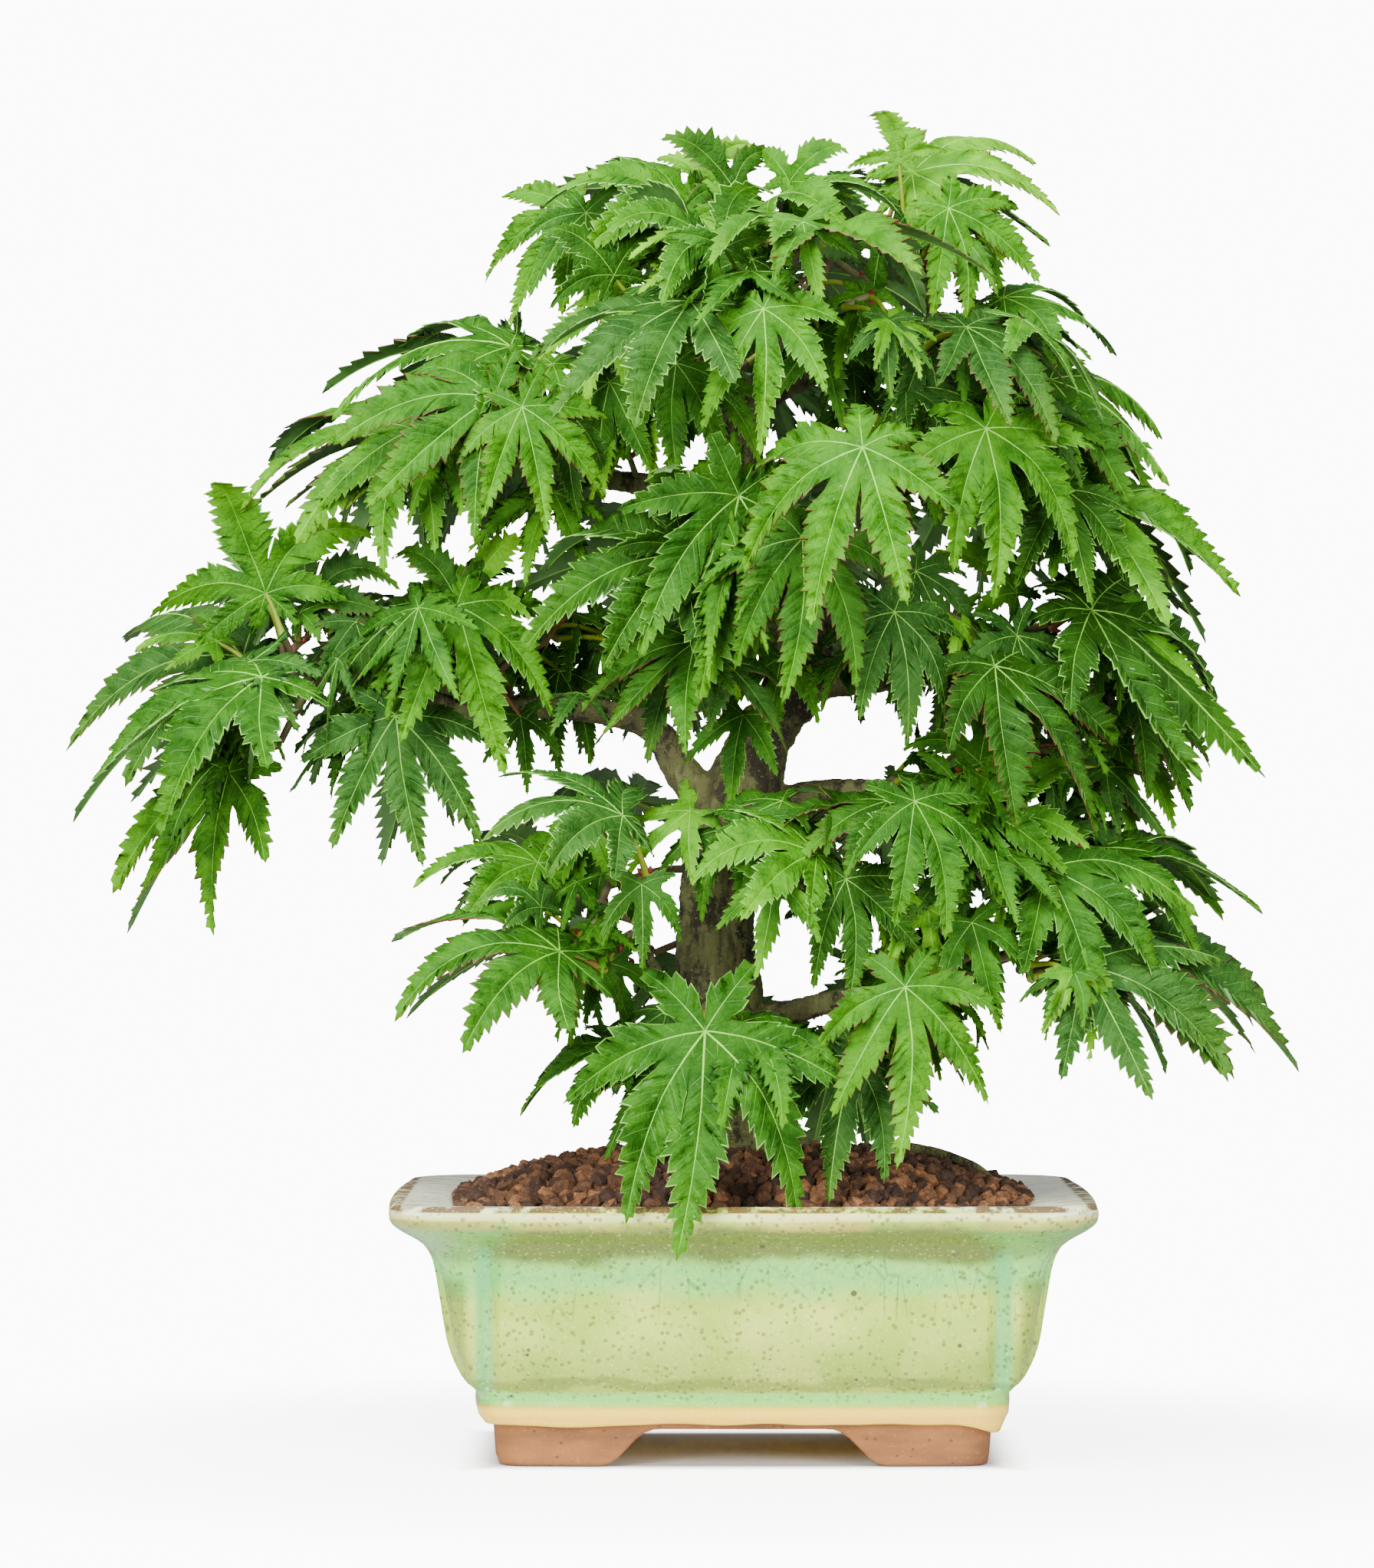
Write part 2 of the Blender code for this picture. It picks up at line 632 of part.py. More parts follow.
def build_surface_root(material):
    """A slim root that lies along the top of the soil, right of the trunk."""
    points = []
    for t in (0.0, 0.25, 0.5, 0.75, 1.0):
        x = ROOT_START[0] + (ROOT_END[0] - ROOT_START[0]) * t
        y = ROOT_START[1] + (ROOT_END[1] - ROOT_START[1]) * t + ROOT_BEND * math.sin(5 * t)
        points.append((x, y, soil_height(x, y) + ROOT_RISE[0] + ROOT_RISE[1] * math.sin(math.pi * t)))
    line = catmull(points, LINE_STEPS)
    radii = np.linspace(ROOT_RADII[0], ROOT_RADII[1], len(line))
    return add_object("surface_root", *tube(line, radii, ROOT_SIDES), material)


def leaf_axes(turn, aim, lean, roll):
    """Middle-lobe direction, sideways direction and upper normal of a leaf's blade."""
    out = np.array((math.sin(turn), -math.cos(turn), 0.0))
    side = np.array((math.cos(turn), math.sin(turn), 0.0))
    up = np.array((0.0, 0.0, 1.0))
    axis = math.cos(lean) * (math.cos(aim) * side + math.sin(aim) * up) + math.sin(lean) * out
    tilt = math.radians(FACE_TILT + SIDEWAYS_TILT * abs(math.cos(aim)))
    ref = math.cos(tilt) * out + math.sin(tilt) * up
    normal = unit(ref - axis * np.dot(ref, axis))
    across = np.cross(normal, axis)
    normal, across = (normal * math.cos(roll) + across * math.sin(roll),
                      across * math.cos(roll) - normal * math.sin(roll))
    return axis, across, normal


def drape(leaf, flat):
    """Places flat points of a blade in space: each lobe leaves the hub in the plane and sinks."""
    axis, across = leaf["axes"][:2]
    radius = np.linalg.norm(flat, axis=1)
    aim = flat / np.maximum(radius, 1e-9)[:, None]
    start = aim[:, :1] * axis + aim[:, 1:] * across
    place = np.zeros((len(flat), 3))
    for k in range(DROOP_STEPS):
        share = radius * (k + 0.5) / DROOP_STEPS
        heading = start + np.outer(DROOP * share, (0.0, 0.0, -1.0))
        heading /= np.maximum(np.linalg.norm(heading, axis=1), 1e-9)[:, None]
        place += heading * (radius / DROOP_STEPS)[:, None]
    return leaf["hub"] + place * leaf["span"]


def polar(radius, degrees):
    """A flat point of a blade from its distance and angle."""
    return radius * math.cos(math.radians(degrees)), radius * math.sin(math.radians(degrees))


def blade(leaf, thickness):
    """A leaf's blade: a star of lobes, thick along its midribs and thin at its edge."""
    lobes = SMALL_LOBES if leaf["span"] < SMALL_SPAN else LOBES
    rim = [polar(NOTCH_RADIUS, 180), polar(BASE_RADIUS, -BASE_ANGLE)]
    inner = [(0.0, 0.0)]
    fans = []
    for k, (angle, length, long) in enumerate(lobes):
        first = len(rim) - 1
        if long:
            waist = LOBE_WAIST * length
            spread = math.degrees(math.atan2(LOBE_HALF_WIDTH * (0.5 + 0.5 * length), waist))
            rim += [polar(waist, angle - spread), polar(length, angle), polar(waist, angle + spread)]
            inner.append(polar(waist, angle))
            fans.append((first, 4, len(inner) - 1))
        else:
            rim.append(polar(length, angle))
            fans.append((first, 2, 0))
        if k < len(lobes) - 1:
            rim.append(polar(SINUS_RADIUS, (angle + lobes[k + 1][0]) / 2))
        else:
            rim.append(polar(BASE_RADIUS, BASE_ANGLE))
    place = drape(leaf, np.array(rim + inner))
    count = len(rim)
    lift = leaf["axes"][2] * thickness / 2
    verts = [tuple(p) for p in place[:count]]
    verts += [tuple(p + lift) for p in place[count:]] + [tuple(p - lift) for p in place[count:]]
    faces = []
    for hub, flip in ((count, False), (count + len(inner), True)):
        ring = [(hub, 0, 1), (hub, count - 1, 0)]
        for first, steps, middle in fans:
            ring += [(first + i, first + i + 1, hub + middle) for i in range(steps)]
            if middle:
                ring += [(hub, first, hub + middle), (first + steps, hub, hub + middle)]
        faces += [tuple(reversed(f)) if flip else f for f in ring]
    return verts, faces


def make_leaf(row, twin):
    """A leaf from its row: hub, axes, span and droop. Front leaves face the front, twins back and out."""
    x, y, z, aim, lean, roll, span = row
    turn = 180 - TWIN_TURN_OUT * x / POT_WIDTH if twin else FRONT_TURN_OUT * x / POT_WIDTH
    axes = leaf_axes(math.radians(turn), math.radians(aim), math.radians(lean), math.radians(roll))
    return {"hub": np.array((x, y, z), float), "span": float(span), "twin": twin, "axes": axes}


def twin_rows(rng):
    """The far side's leaves: a twin of each front leaf of some size, a little moved and turned."""
    twins = {name: [] for name in LEAVES}
    for name in LEAVES:
        for x, y, z, aim, lean, roll, span in LEAVES[name][1]:
            shift = [rng.uniform(-TWIN_JITTER, TWIN_JITTER) for k in range(3)]
            turn_by = rng.uniform(-TWIN_TURN_JITTER, TWIN_TURN_JITTER)
            if span < TWIN_LEAST_SPAN or y > TWIN_LEAST_FRONT:
                continue
            twin = (x + shift[0], -y + TWIN_STEP_BACK + shift[1], z + shift[2],
                    180 - aim + turn_by, lean, -roll, span * TWIN_SPAN)
            twins[TWIN_MASS.get(name, name)].append(twin)
    return twins


def leaf_root(leaf, stem_start):
    """Where a leaf's petiole leaves its twig: back from the hub, towards the stem."""
    away = leaf["hub"] - stem_start
    along = leaf["axes"][0]
    heading = unit(PETIOLE_AWAY * unit(away) + PETIOLE_ALONG * along + np.array((0, 0, PETIOLE_UP)))
    return leaf["hub"] - heading * min(PETIOLE_LENGTH, PETIOLE_SHARE * np.linalg.norm(away))


def nearest_joint(segments, root, start):
    """The point of the twigs so far that a new twig grows from."""
    best = None
    for a, b in segments:
        t = float(np.clip(np.dot(root - a, b - a) / max(np.dot(b - a, b - a), 1e-9), 0.0, 1.0))
        p = a + (b - a) * t
        cost = np.linalg.norm(root - p) + JOINT_PULL * np.linalg.norm(p - start)
        if best is None or cost < best[0]:
            best = (cost, p)
    return best[1]


def petiole_end(leaf):
    """Where a petiole ends inside its blade, a little short of the hub."""
    return leaf["hub"] - leaf["axes"][0] * PETIOLE_SEAT * leaf["span"]


def shoot_line(joint, root, leaf, sway):
    """The line of a leaf's twig and petiole, from the joint by the root to just short of the hub."""
    gap = np.linalg.norm(root - joint)
    line = [joint]
    if gap > 3.0:
        line.append((root + joint) / 2 + np.array((0, sway * gap, TWIG_ARCH * gap)))
    if gap > 1.0:
        line.append(root)
    line.append(petiole_end(leaf))
    return line


def shoot(line, extra):
    """The solid of a twig and petiole, tapering along its line."""
    radii = [TWIG_RADIUS + (PETIOLE_RADIUS - TWIG_RADIUS) * k / (len(line) - 1) + extra
             for k in range(len(line))]
    return tube(line, radii, 3)


def search_tree(shape):
    """A search tree over one solid."""
    verts, faces = shape
    return BVHTree.FromPolygons([Vector(v) for v in verts], faces)


def meets(tree, taken, owner, leaf=None):
    """Whether a solid meets a limb or another mass or, where its leaf is given, its mass's other leaves."""
    for other_owner, other_leaf, other in taken:
        if other_owner == owner and (leaf is None or other_leaf in (None, leaf["number"])):
            continue
        if tree.overlap(other):
            return True
    return False


def stem_line(name, limb):
    """The first stretch of a mass's stem, clear of the limb's tip or the trunk's side."""
    if limb == "trunk":
        place, heading = TRUNK_STARTS[name]
        heading = unit(heading)
        line, radii = trunk_rings()
        near = min(range(len(line)), key=lambda i: np.linalg.norm(line[i] - np.array(place)))
        tip = near == len(line) - 1
        reach = CLEARANCE if tip else radii[near] + CLEARANCE + STEM_STAND_OFF
        base = np.array(place, float) + heading * reach
        return base, heading, min(STEM_RADIUS, radii[near])
    line, radii = limb_line(limb)
    heading = unit(line[-1] - line[-2])
    return line[-1] + heading * CLEARANCE, heading, min(STEM_RADIUS, radii[-1])


def grow_stem(mass):
    """The mass's stem, from its limb towards the middle of its leaves."""
    base, heading, radius = stem_line(mass["name"], mass["limb"])
    centre = sum(leaf["hub"] for leaf in mass["leaves"]) / len(mass["leaves"])
    bend = base + heading * STEM_BEND * np.linalg.norm(centre - base)
    end = base + (centre - base) * STEM_REACH
    line = catmull((base, bend, end), LINE_STEPS)
    mass["start"] = line[2]
    mass["shapes"] = [tube(line, [radius * (1 - STEM_TAPER * k) for k in range(len(line))], 4)]
    mass["segments"] = [(line[k], line[k + 1]) for k in range(1, len(line) - 1)]
    return mass["shapes"][0]


def grow_shoots(mass, taken):
    """A twig and petiole for each leaf: one that would meet a neighbour sways aside or is left out."""
    rooted = []
    for leaf in sorted(mass["leaves"], key=lambda item: np.linalg.norm(item["hub"] - mass["start"])):
        home = leaf["hub"].copy()
        for nudge, sway in SHOOT_TRIES:
            leaf["hub"] = home + np.array((0.0, nudge, 0.0))
            root = leaf_root(leaf, mass["start"])
            joint = nearest_joint(mass["segments"], root, mass["start"])
            line = shoot_line(joint, root, leaf, sway)
            if meets(search_tree(shoot(line, SPARE)), taken, mass["name"]):
                continue
            leaf["shoot"] = line
            mass["segments"] += list(zip(line[:-2], line[1:-1]))
            taken.append((mass["name"], leaf["number"], search_tree(shoot(line, 0.0))))
            rooted.append(leaf)
            break
        else:
            print("no way for a twig in", mass["name"], home.round())
    mass["leaves"] = rooted


def grow_blades(masses, taken):
    """A blade on each petiole, the longest first: one that would meet a neighbour turns or is left out."""
    order = [(mass, leaf) for mass in masses for leaf in mass["leaves"]]
    order.sort(key=lambda item: (item[1]["twin"], -item[1]["span"]))
    for mass, leaf in order:
        shape = place_blade(mass, leaf, taken)
        if shape is None:
            print("no room for a blade in", mass["name"], leaf["hub"].round())
            continue
        leaf["shoot"][-1] = petiole_end(leaf)
        mass["shapes"] += [shoot(leaf["shoot"], 0.0), shape]
        mass["blades"] = mass.get("blades", 0) + 1
        taken.append((mass["name"], leaf["number"], search_tree(shape)))
    for mass in masses:
        print(mass["name"], mass.get("blades", 0), "of", len(mass["leaves"]))


def place_blade(mass, leaf, taken):
    """The first way of holding a blade that keeps it clear, of its own mass's blades too if it can."""
    home = leaf["axes"]
    hub = leaf["hub"]
    for own in (leaf, None):
        for lean, roll, shift in BLADE_TRIES:
            leaf["axes"] = turn_axes(home, math.radians(lean), math.radians(roll))
            leaf["hub"] = hub + np.array((0.0, shift, 0.0))
            if not meets(search_tree(blade(leaf, BLADE_THICKNESS + 2 * SPARE)), taken, mass["name"], own):
                return blade(leaf, BLADE_THICKNESS)
    return None


def turn_axes(axes, lean, roll):
    """A leaf's axes, leant towards its upper face and rolled about its middle lobe."""
    axis, across, normal = axes
    axis, normal = (axis * math.cos(lean) + normal * math.sin(lean),
                    normal * math.cos(lean) - axis * math.sin(lean))
    normal, across = (normal * math.cos(roll) + across * math.sin(roll),
                      across * math.cos(roll) - normal * math.sin(roll))
    return axis, across, normal


def is_closed(obj):
    """Whether every edge of the mesh lies between exactly two faces."""
    bm = bmesh.new()
    bm.from_mesh(obj.data)
    closed = all(len(edge.link_faces) == 2 for edge in bm.edges)
    bm.free()
    return closed


def fuse(name, shapes, material):
    """One closed body out of a mass's solids."""
    parts = bpy.data.collections.new(name + "_parts")
    bpy.context.scene.collection.children.link(parts)
    for verts, faces in shapes[1:]:
        piece = add_object("piece", verts, faces)
        bpy.context.collection.objects.unlink(piece)
        parts.objects.link(piece)
    for solver in ("EXACT", "MANIFOLD"):
        whole = add_object(name, *shapes[0], material)
        boolean(whole, parts, "UNION", solver)
        keep_largest(whole)
        if is_closed(whole):
            break
        print(name, "is open after", solver)
        bpy.data.objects.remove(whole)
    for piece in list(parts.objects):
        bpy.data.objects.remove(piece)
    bpy.data.collections.remove(parts)
    return whole


def recentre(objects):
    """Moves every mesh so that the middle of the whole plant's underside is the origin."""
    corners = np.array([v.co[:] for obj in objects for v in obj.data.vertices])
    low = corners.min(axis=0)
    high = corners.max(axis=0)
    shift = Vector((-(low[0] + high[0]) / 2, -(low[1] + high[1]) / 2, -low[2]))
    for obj in objects:
        for vert in obj.data.vertices:
            vert.co += shift
        obj.data.update()
    print("pot axis moved to", [round(v / MM, 3) for v in shift], "size", (high - low) / MM)


def main():
    """Builds the pot, the soil, the trunk and its limbs, then the foliage."""
    for obj in list(bpy.data.objects):
        bpy.data.objects.remove(obj)
    glaze = make_material("celadon_glaze", (0.58, 0.66, 0.42), 0.22)
    earth = make_material("clay_granules", (0.12, 0.05, 0.03), 0.9)
    bark = make_material("bark", (0.16, 0.14, 0.08), 0.75)
    leaf_green = make_material("leaf_green", (0.09, 0.27, 0.04), 0.45)

    made = [build_pot(glaze), build_soil(earth), build_trunk(bark), build_surface_root(bark)]
    made += [build_limb(name, bark) for name in LIMBS]
    taken = [(obj.name, None, tree_of(obj)) for obj in made]

    twins = twin_rows(random.Random(SEED))
    masses = []
    for name, (limb, rows) in LEAVES.items():
        leaves = [make_leaf(row, False) for row in rows] + [make_leaf(row, True) for row in twins[name]]
        for number, leaf in enumerate(leaves):
            leaf["number"] = number
        masses.append({"name": name, "limb": limb, "leaves": leaves})
    for mass in masses:
        taken.append((mass["name"], None, search_tree(grow_stem(mass))))
    for mass in masses:
        grow_shoots(mass, taken)
    grow_blades(masses, taken)
    made += [fuse(mass["name"], mass["shapes"], leaf_green) for mass in masses]
    recentre(made)
    print("triangles", sum(len(p.vertices) - 2 for obj in made for p in obj.data.polygons))


main()
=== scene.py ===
"""Finished look of a small potted maple: bark, drooping leaves, clay granules and a celadon glaze.

Sizes are in millimetres about the pot's upright axis, with the ground at zero and the front towards -Y.
Each piece is moved into the shared frame, in metres, as it is made.
"""

import sys
import logging
import math
import random
from dataclasses import dataclass, field
from enum import Enum
from itertools import product
from typing import Any, Callable, Iterable, NamedTuple, Sequence

import bpy
import numpy as np
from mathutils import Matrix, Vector, kdtree, noise
from mathutils.bvhtree import BVHTree


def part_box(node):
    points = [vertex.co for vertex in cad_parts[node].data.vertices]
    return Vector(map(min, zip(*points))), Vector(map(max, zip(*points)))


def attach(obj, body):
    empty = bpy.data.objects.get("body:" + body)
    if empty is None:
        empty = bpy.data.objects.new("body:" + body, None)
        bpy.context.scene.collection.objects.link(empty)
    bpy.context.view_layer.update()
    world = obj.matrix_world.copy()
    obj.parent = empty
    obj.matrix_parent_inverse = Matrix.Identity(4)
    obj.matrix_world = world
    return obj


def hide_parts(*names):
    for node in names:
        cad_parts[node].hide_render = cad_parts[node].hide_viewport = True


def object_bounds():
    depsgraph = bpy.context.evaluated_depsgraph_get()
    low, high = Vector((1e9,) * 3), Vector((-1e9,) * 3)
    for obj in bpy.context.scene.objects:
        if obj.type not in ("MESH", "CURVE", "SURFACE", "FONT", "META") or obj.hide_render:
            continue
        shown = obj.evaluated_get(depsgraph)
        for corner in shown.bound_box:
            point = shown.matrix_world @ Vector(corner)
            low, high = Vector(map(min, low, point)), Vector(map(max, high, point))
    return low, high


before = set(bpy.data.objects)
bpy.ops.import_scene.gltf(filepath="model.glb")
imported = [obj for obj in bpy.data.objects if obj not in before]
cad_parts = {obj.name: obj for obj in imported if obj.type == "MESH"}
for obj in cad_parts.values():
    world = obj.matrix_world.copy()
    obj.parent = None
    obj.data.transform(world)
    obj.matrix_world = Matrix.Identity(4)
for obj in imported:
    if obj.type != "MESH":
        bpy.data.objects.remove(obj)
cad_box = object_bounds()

LOG = logging.getLogger("bonsai")
MM = 0.001
BODY = "root"
SMALL = 1e-9
UP = np.array((0.0, 0.0, 1.0))
Color = tuple[float, float, float]
Array = np.ndarray
Segment = tuple[Array, Array]


def norm(vector: Array) -> float:
    """The vector's length."""
    return float(np.linalg.norm(vector))


def unit(vector: Iterable[float]) -> Array:
    """The vector at length one."""
    values = np.array(vector, float)
    return values / max(norm(values), SMALL)


def units(rows: Array) -> Array:
    """Every row at length one."""
    return rows / np.maximum(np.linalg.norm(rows, axis=1), SMALL)[:, None]


def polar(radius: float, angle: float) -> tuple[float, float]:
    """A flat point at a distance from the origin and an angle in degrees."""
    turn = math.radians(angle)
    return radius * math.cos(turn), radius * math.sin(turn)


def halved(quads: Array) -> Array:
    """Two triangles for each four-cornered face."""
    return np.concatenate((quads[:, [0, 1, 2]], quads[:, [0, 2, 3]]))


def catmull(points: Sequence[Sequence[float]], per_span: int) -> list[Array]:
    """Points along a smooth curve.

    Args:
        points: The points that the curve passes through.
        per_span: Steps between two of them.

    Returns:
        The points along the curve, its ends included.
    """
    pts = [np.array(p, float) for p in points]
    ends = [2 * pts[0] - pts[1]] + pts + [2 * pts[-1] - pts[-2]]
    line = []
    for i in range(1, len(ends) - 2):
        p0, p1, p2, p3 = ends[i - 1:i + 3]
        for k in range(per_span):
            t = k / per_span
            line.append(0.5 * (2 * p1 + (p2 - p0) * t + (2 * p0 - 5 * p1 + 4 * p2 - p3) * t * t
                               + (3 * p1 - p0 - 3 * p2 + p3) * t ** 3))
    line.append(pts[-1])
    return line


class Socket:
    """The output of a node, which takes part in sums as a number does."""

    def __init__(self, graph: "Graph", out: bpy.types.NodeSocket) -> None:
        """Wraps one output of the graph."""
        self.graph = graph
        self.out = out

    def _sum(self, operation: str, first: Any, second: Any) -> "Socket":
        """A Math node of two values."""
        made = self.graph.node("ShaderNodeMath", {"operation": operation}, {0: first, 1: second})
        return Socket(self.graph, made.outputs[0])

    def __add__(self, other: Any) -> "Socket":
        """This value plus another."""
        return self._sum("ADD", self, other)

    def __radd__(self, other: Any) -> "Socket":
        """Another value plus this one."""
        return self._sum("ADD", other, self)

    def __sub__(self, other: Any) -> "Socket":
        """This value less another."""
        return self._sum("SUBTRACT", self, other)

    def __rsub__(self, other: Any) -> "Socket":
        """Another value less this one."""
        return self._sum("SUBTRACT", other, self)

    def __mul__(self, other: Any) -> "Socket":
        """This value times another."""
        return self._sum("MULTIPLY", self, other)

    def __rmul__(self, other: Any) -> "Socket":
        """Another value times this one."""
        return self._sum("MULTIPLY", other, self)

    def __truediv__(self, other: Any) -> "Socket":
        """This value over another."""
        return self._sum("DIVIDE", self, other)

    def __abs__(self) -> "Socket":
        """This value without its sign."""
        return self._sum("ABSOLUTE", self, 0.0)

    def __gt__(self, other: Any) -> "Socket":
        """1 where this value is above another, else 0."""
        return self._sum("GREATER_THAN", self, other)

    def __lt__(self, other: Any) -> "Socket":
        """1 where this value is below another, else 0."""
        return self._sum("LESS_THAN", self, other)

    def above(self, low: float, high: float) -> "Socket":
        """A mask that rises smoothly from 0 at low to 1 at high."""
        made = self.graph.node("ShaderNodeMapRange", {"interpolation_type": "SMOOTHSTEP"},
                               {0: self, 1: low, 2: high})
        return Socket(self.graph, made.outputs[0])

    def between(self, low: float, high: float, soft: float) -> "Socket":
        """A mask that is 1 from low to high and fades over soft on both sides."""
        return self.above(low - soft, low) * (1 - self.above(high, high + soft))


class Graph:
    """A node tree, with one method that makes every node."""

    def __init__(self, tree: bpy.types.NodeTree) -> None:
        """Wraps a node tree."""
        self.tree = tree

    def node(self, kind: str, settings: dict[str, Any] | None = None,
             sockets: dict[int | str, Any] | None = None) -> bpy.types.Node:
        """Adds a node.

        Args:
            kind: The node's type.
            settings: Its properties, set first. "stops" fills a ramp with places and colours.
            sockets: Its inputs, by index or name, as values or Socket links.

        Returns:
            The node.
        """
        made = self.tree.nodes.new(kind)
        for key, value in (settings or {}).items():
            if key == "stops":
                ramp = made.color_ramp
                ramp.elements.remove(ramp.elements[1])
                ramp.elements[0].position = value[0][0]
                ramp.elements[0].color = (*value[0][1], 1.0)
                for place, color in value[1:]:
                    ramp.elements.new(place).color = (*color, 1.0)
            else:
                setattr(made, key, value)
        for key, value in (sockets or {}).items():
            if isinstance(value, Socket):
                self.tree.links.new(value.out, made.inputs[key])
            else:
                made.inputs[key].default_value = value
        return made

    def out(self, kind: str, settings: dict[str, Any] | None = None,
            sockets: dict[int | str, Any] | None = None, pick: int | str = 0) -> Socket:
        """Adds a node and gives one of its outputs."""
        return Socket(self, self.node(kind, settings, sockets).outputs[pick])


class Finish(Graph):
    """One material: a Principled shader and what feeds it."""

    def __init__(self, name: str, roughness: float, coat: float = 0.0) -> None:
        """Starts a material.

        Args:
            name: Its name.
            roughness: Roughness where nothing is linked.
            coat: Weight of the clear coat.
        """
        self.material = bpy.data.materials.new(name)
        self.material.use_nodes = True
        super().__init__(self.material.node_tree)
        self.shader = self.tree.nodes["Principled BSDF"]
        self.shader.inputs["Roughness"].default_value = roughness
        self.shader.inputs["Coat Weight"].default_value = coat
        self.shader.inputs["Coat Roughness"].default_value = 0.08
        self.color: Any = (0.0, 0.0, 0.0)

    def place(self, stretch: Sequence[float] = (1.0, 1.0, 1.0),
              centre: Sequence[float] = (0.0, 0.0)) -> Socket:
        """Object coordinates in millimetres.

        Args:
            stretch: Factors along x, y and z, which shorten a pattern where they are above 1.
            centre: The place that becomes the origin.

        Returns:
            The coordinates.
        """
        raw = self.out("ShaderNodeTexCoord", pick="Object")
        scale = tuple(s / MM for s in stretch)
        shift = (-centre[0] * stretch[0], -centre[1] * stretch[1], 0.0)
        return self.out("ShaderNodeMapping", None, {"Vector": raw, "Scale": scale, "Location": shift})

    def pot_place(self, *stretch: float) -> Socket:
        """Object coordinates about the pot's axis."""
        return self.place(stretch or (1.0, 1.0, 1.0), Shop.centre())

    def axes(self, place: Socket) -> tuple[Socket, Socket, Socket]:
        """The three numbers of a place."""
        parts = self.node("ShaderNodeSeparateXYZ", None, {0: place})
        return tuple(Socket(self, parts.outputs[k]) for k in range(3))

    def noise(self, place: Socket, size: float, detail: float = 3.0, rough: float = 0.5) -> Socket:
        """Cloudy noise whose clouds are about size millimetres across."""
        return self.out("ShaderNodeTexNoise", None, {"Vector": place, "Scale": 1.0 / size, "Detail": detail,
                                                     "Roughness": rough})

    def cells(self, place: Socket, size: float, feature: str = "F1") -> Socket:
        """Cells about size millimetres across."""
        return self.out("ShaderNodeTexVoronoi", {"feature": feature},
                        {"Vector": place, "Scale": 1.0 / size}, "Distance")

    def mix(self, mask: Any, first: Any, second: Any) -> Socket:
        """A colour between two.

        Args:
            mask: 0 for the first colour and 1 for the second.
            first: A colour or a link.
            second: Another.

        Returns:
            The colour.
        """
        parts = {0: mask}
        for key, value in ((6, first), (7, second)):
            parts[key] = value if isinstance(value, Socket) else (*value, 1.0)
        return self.out("ShaderNodeMix", {"data_type": "RGBA"}, parts, 2)

    def lay(self, mask: Any, tone: Any) -> None:
        """Lays a colour over the material's colour so far, where the mask is 1."""
        self.color = self.mix(mask, self.color, tone)

    def attribute(self, name: str) -> Socket:
        """A number that the mesh carries at each of its points."""
        return self.out("ShaderNodeAttribute", {"attribute_name": name}, None, "Fac")

    def feed(self, name: str, value: Socket) -> None:
        """Links a value to the shader."""
        self.tree.links.new(value.out, self.shader.inputs[name])

    def bump(self, height: Socket, distance: float) -> None:
        """Feeds the shader's normal from a height; distance is in millimetres."""
        made = self.out("ShaderNodeBump", None, {"Height": height, "Distance": distance * MM, "Strength": 1.0})
        self.feed("Normal", made)


class Growth(Graph):
    """A geometry node tree with named inputs, whose result is taken as a plain mesh."""

    def __init__(self, name: str, inputs: dict[str, tuple[str, Any]]) -> None:
        """Starts a tree.

        Args:
            name: Its name.
            inputs: Socket type and value of each input, by name.
        """
        super().__init__(bpy.data.node_groups.new(name, "GeometryNodeTree"))
        faces = self.tree.interface
        faces.new_socket(name="Geometry", in_out="INPUT", socket_type="NodeSocketGeometry")
        self.values = {}
        for key, (kind, value) in inputs.items():
            made = faces.new_socket(name=key, in_out="INPUT", socket_type=kind)
            self.values[made.identifier] = value
        faces.new_socket(name="Geometry", in_out="OUTPUT", socket_type="NodeSocketGeometry")
        self.entry = self.node("NodeGroupInput")

    def given(self, name: str) -> Socket:
        """One of the tree's inputs."""
        return Socket(self, self.entry.outputs[name])

    def close(self, shape: Socket, material: Socket) -> None:
        """Ends the tree: instances made real, then the material.

        Args:
            shape: What the tree has made.
            material: The material's input.
        """
        real = self.out("GeometryNodeRealizeInstances", None, {"Geometry": shape})
        painted = self.out("GeometryNodeSetMaterial", None, {"Geometry": real, "Material": material})
        self.node("NodeGroupOutput", None, {"Geometry": painted})

    def bake(self, obj: bpy.types.Object) -> bpy.types.Object:
        """Runs the tree on an object and makes the result its plain mesh.

        Args:
            obj: The object that the tree starts from.

        Returns:
            The same object.
        """
        mod = obj.modifiers.new(self.tree.name, "NODES")
        mod.node_group = self.tree
        for key, value in self.values.items():
            mod[key] = value
        return Shop.settle(obj)


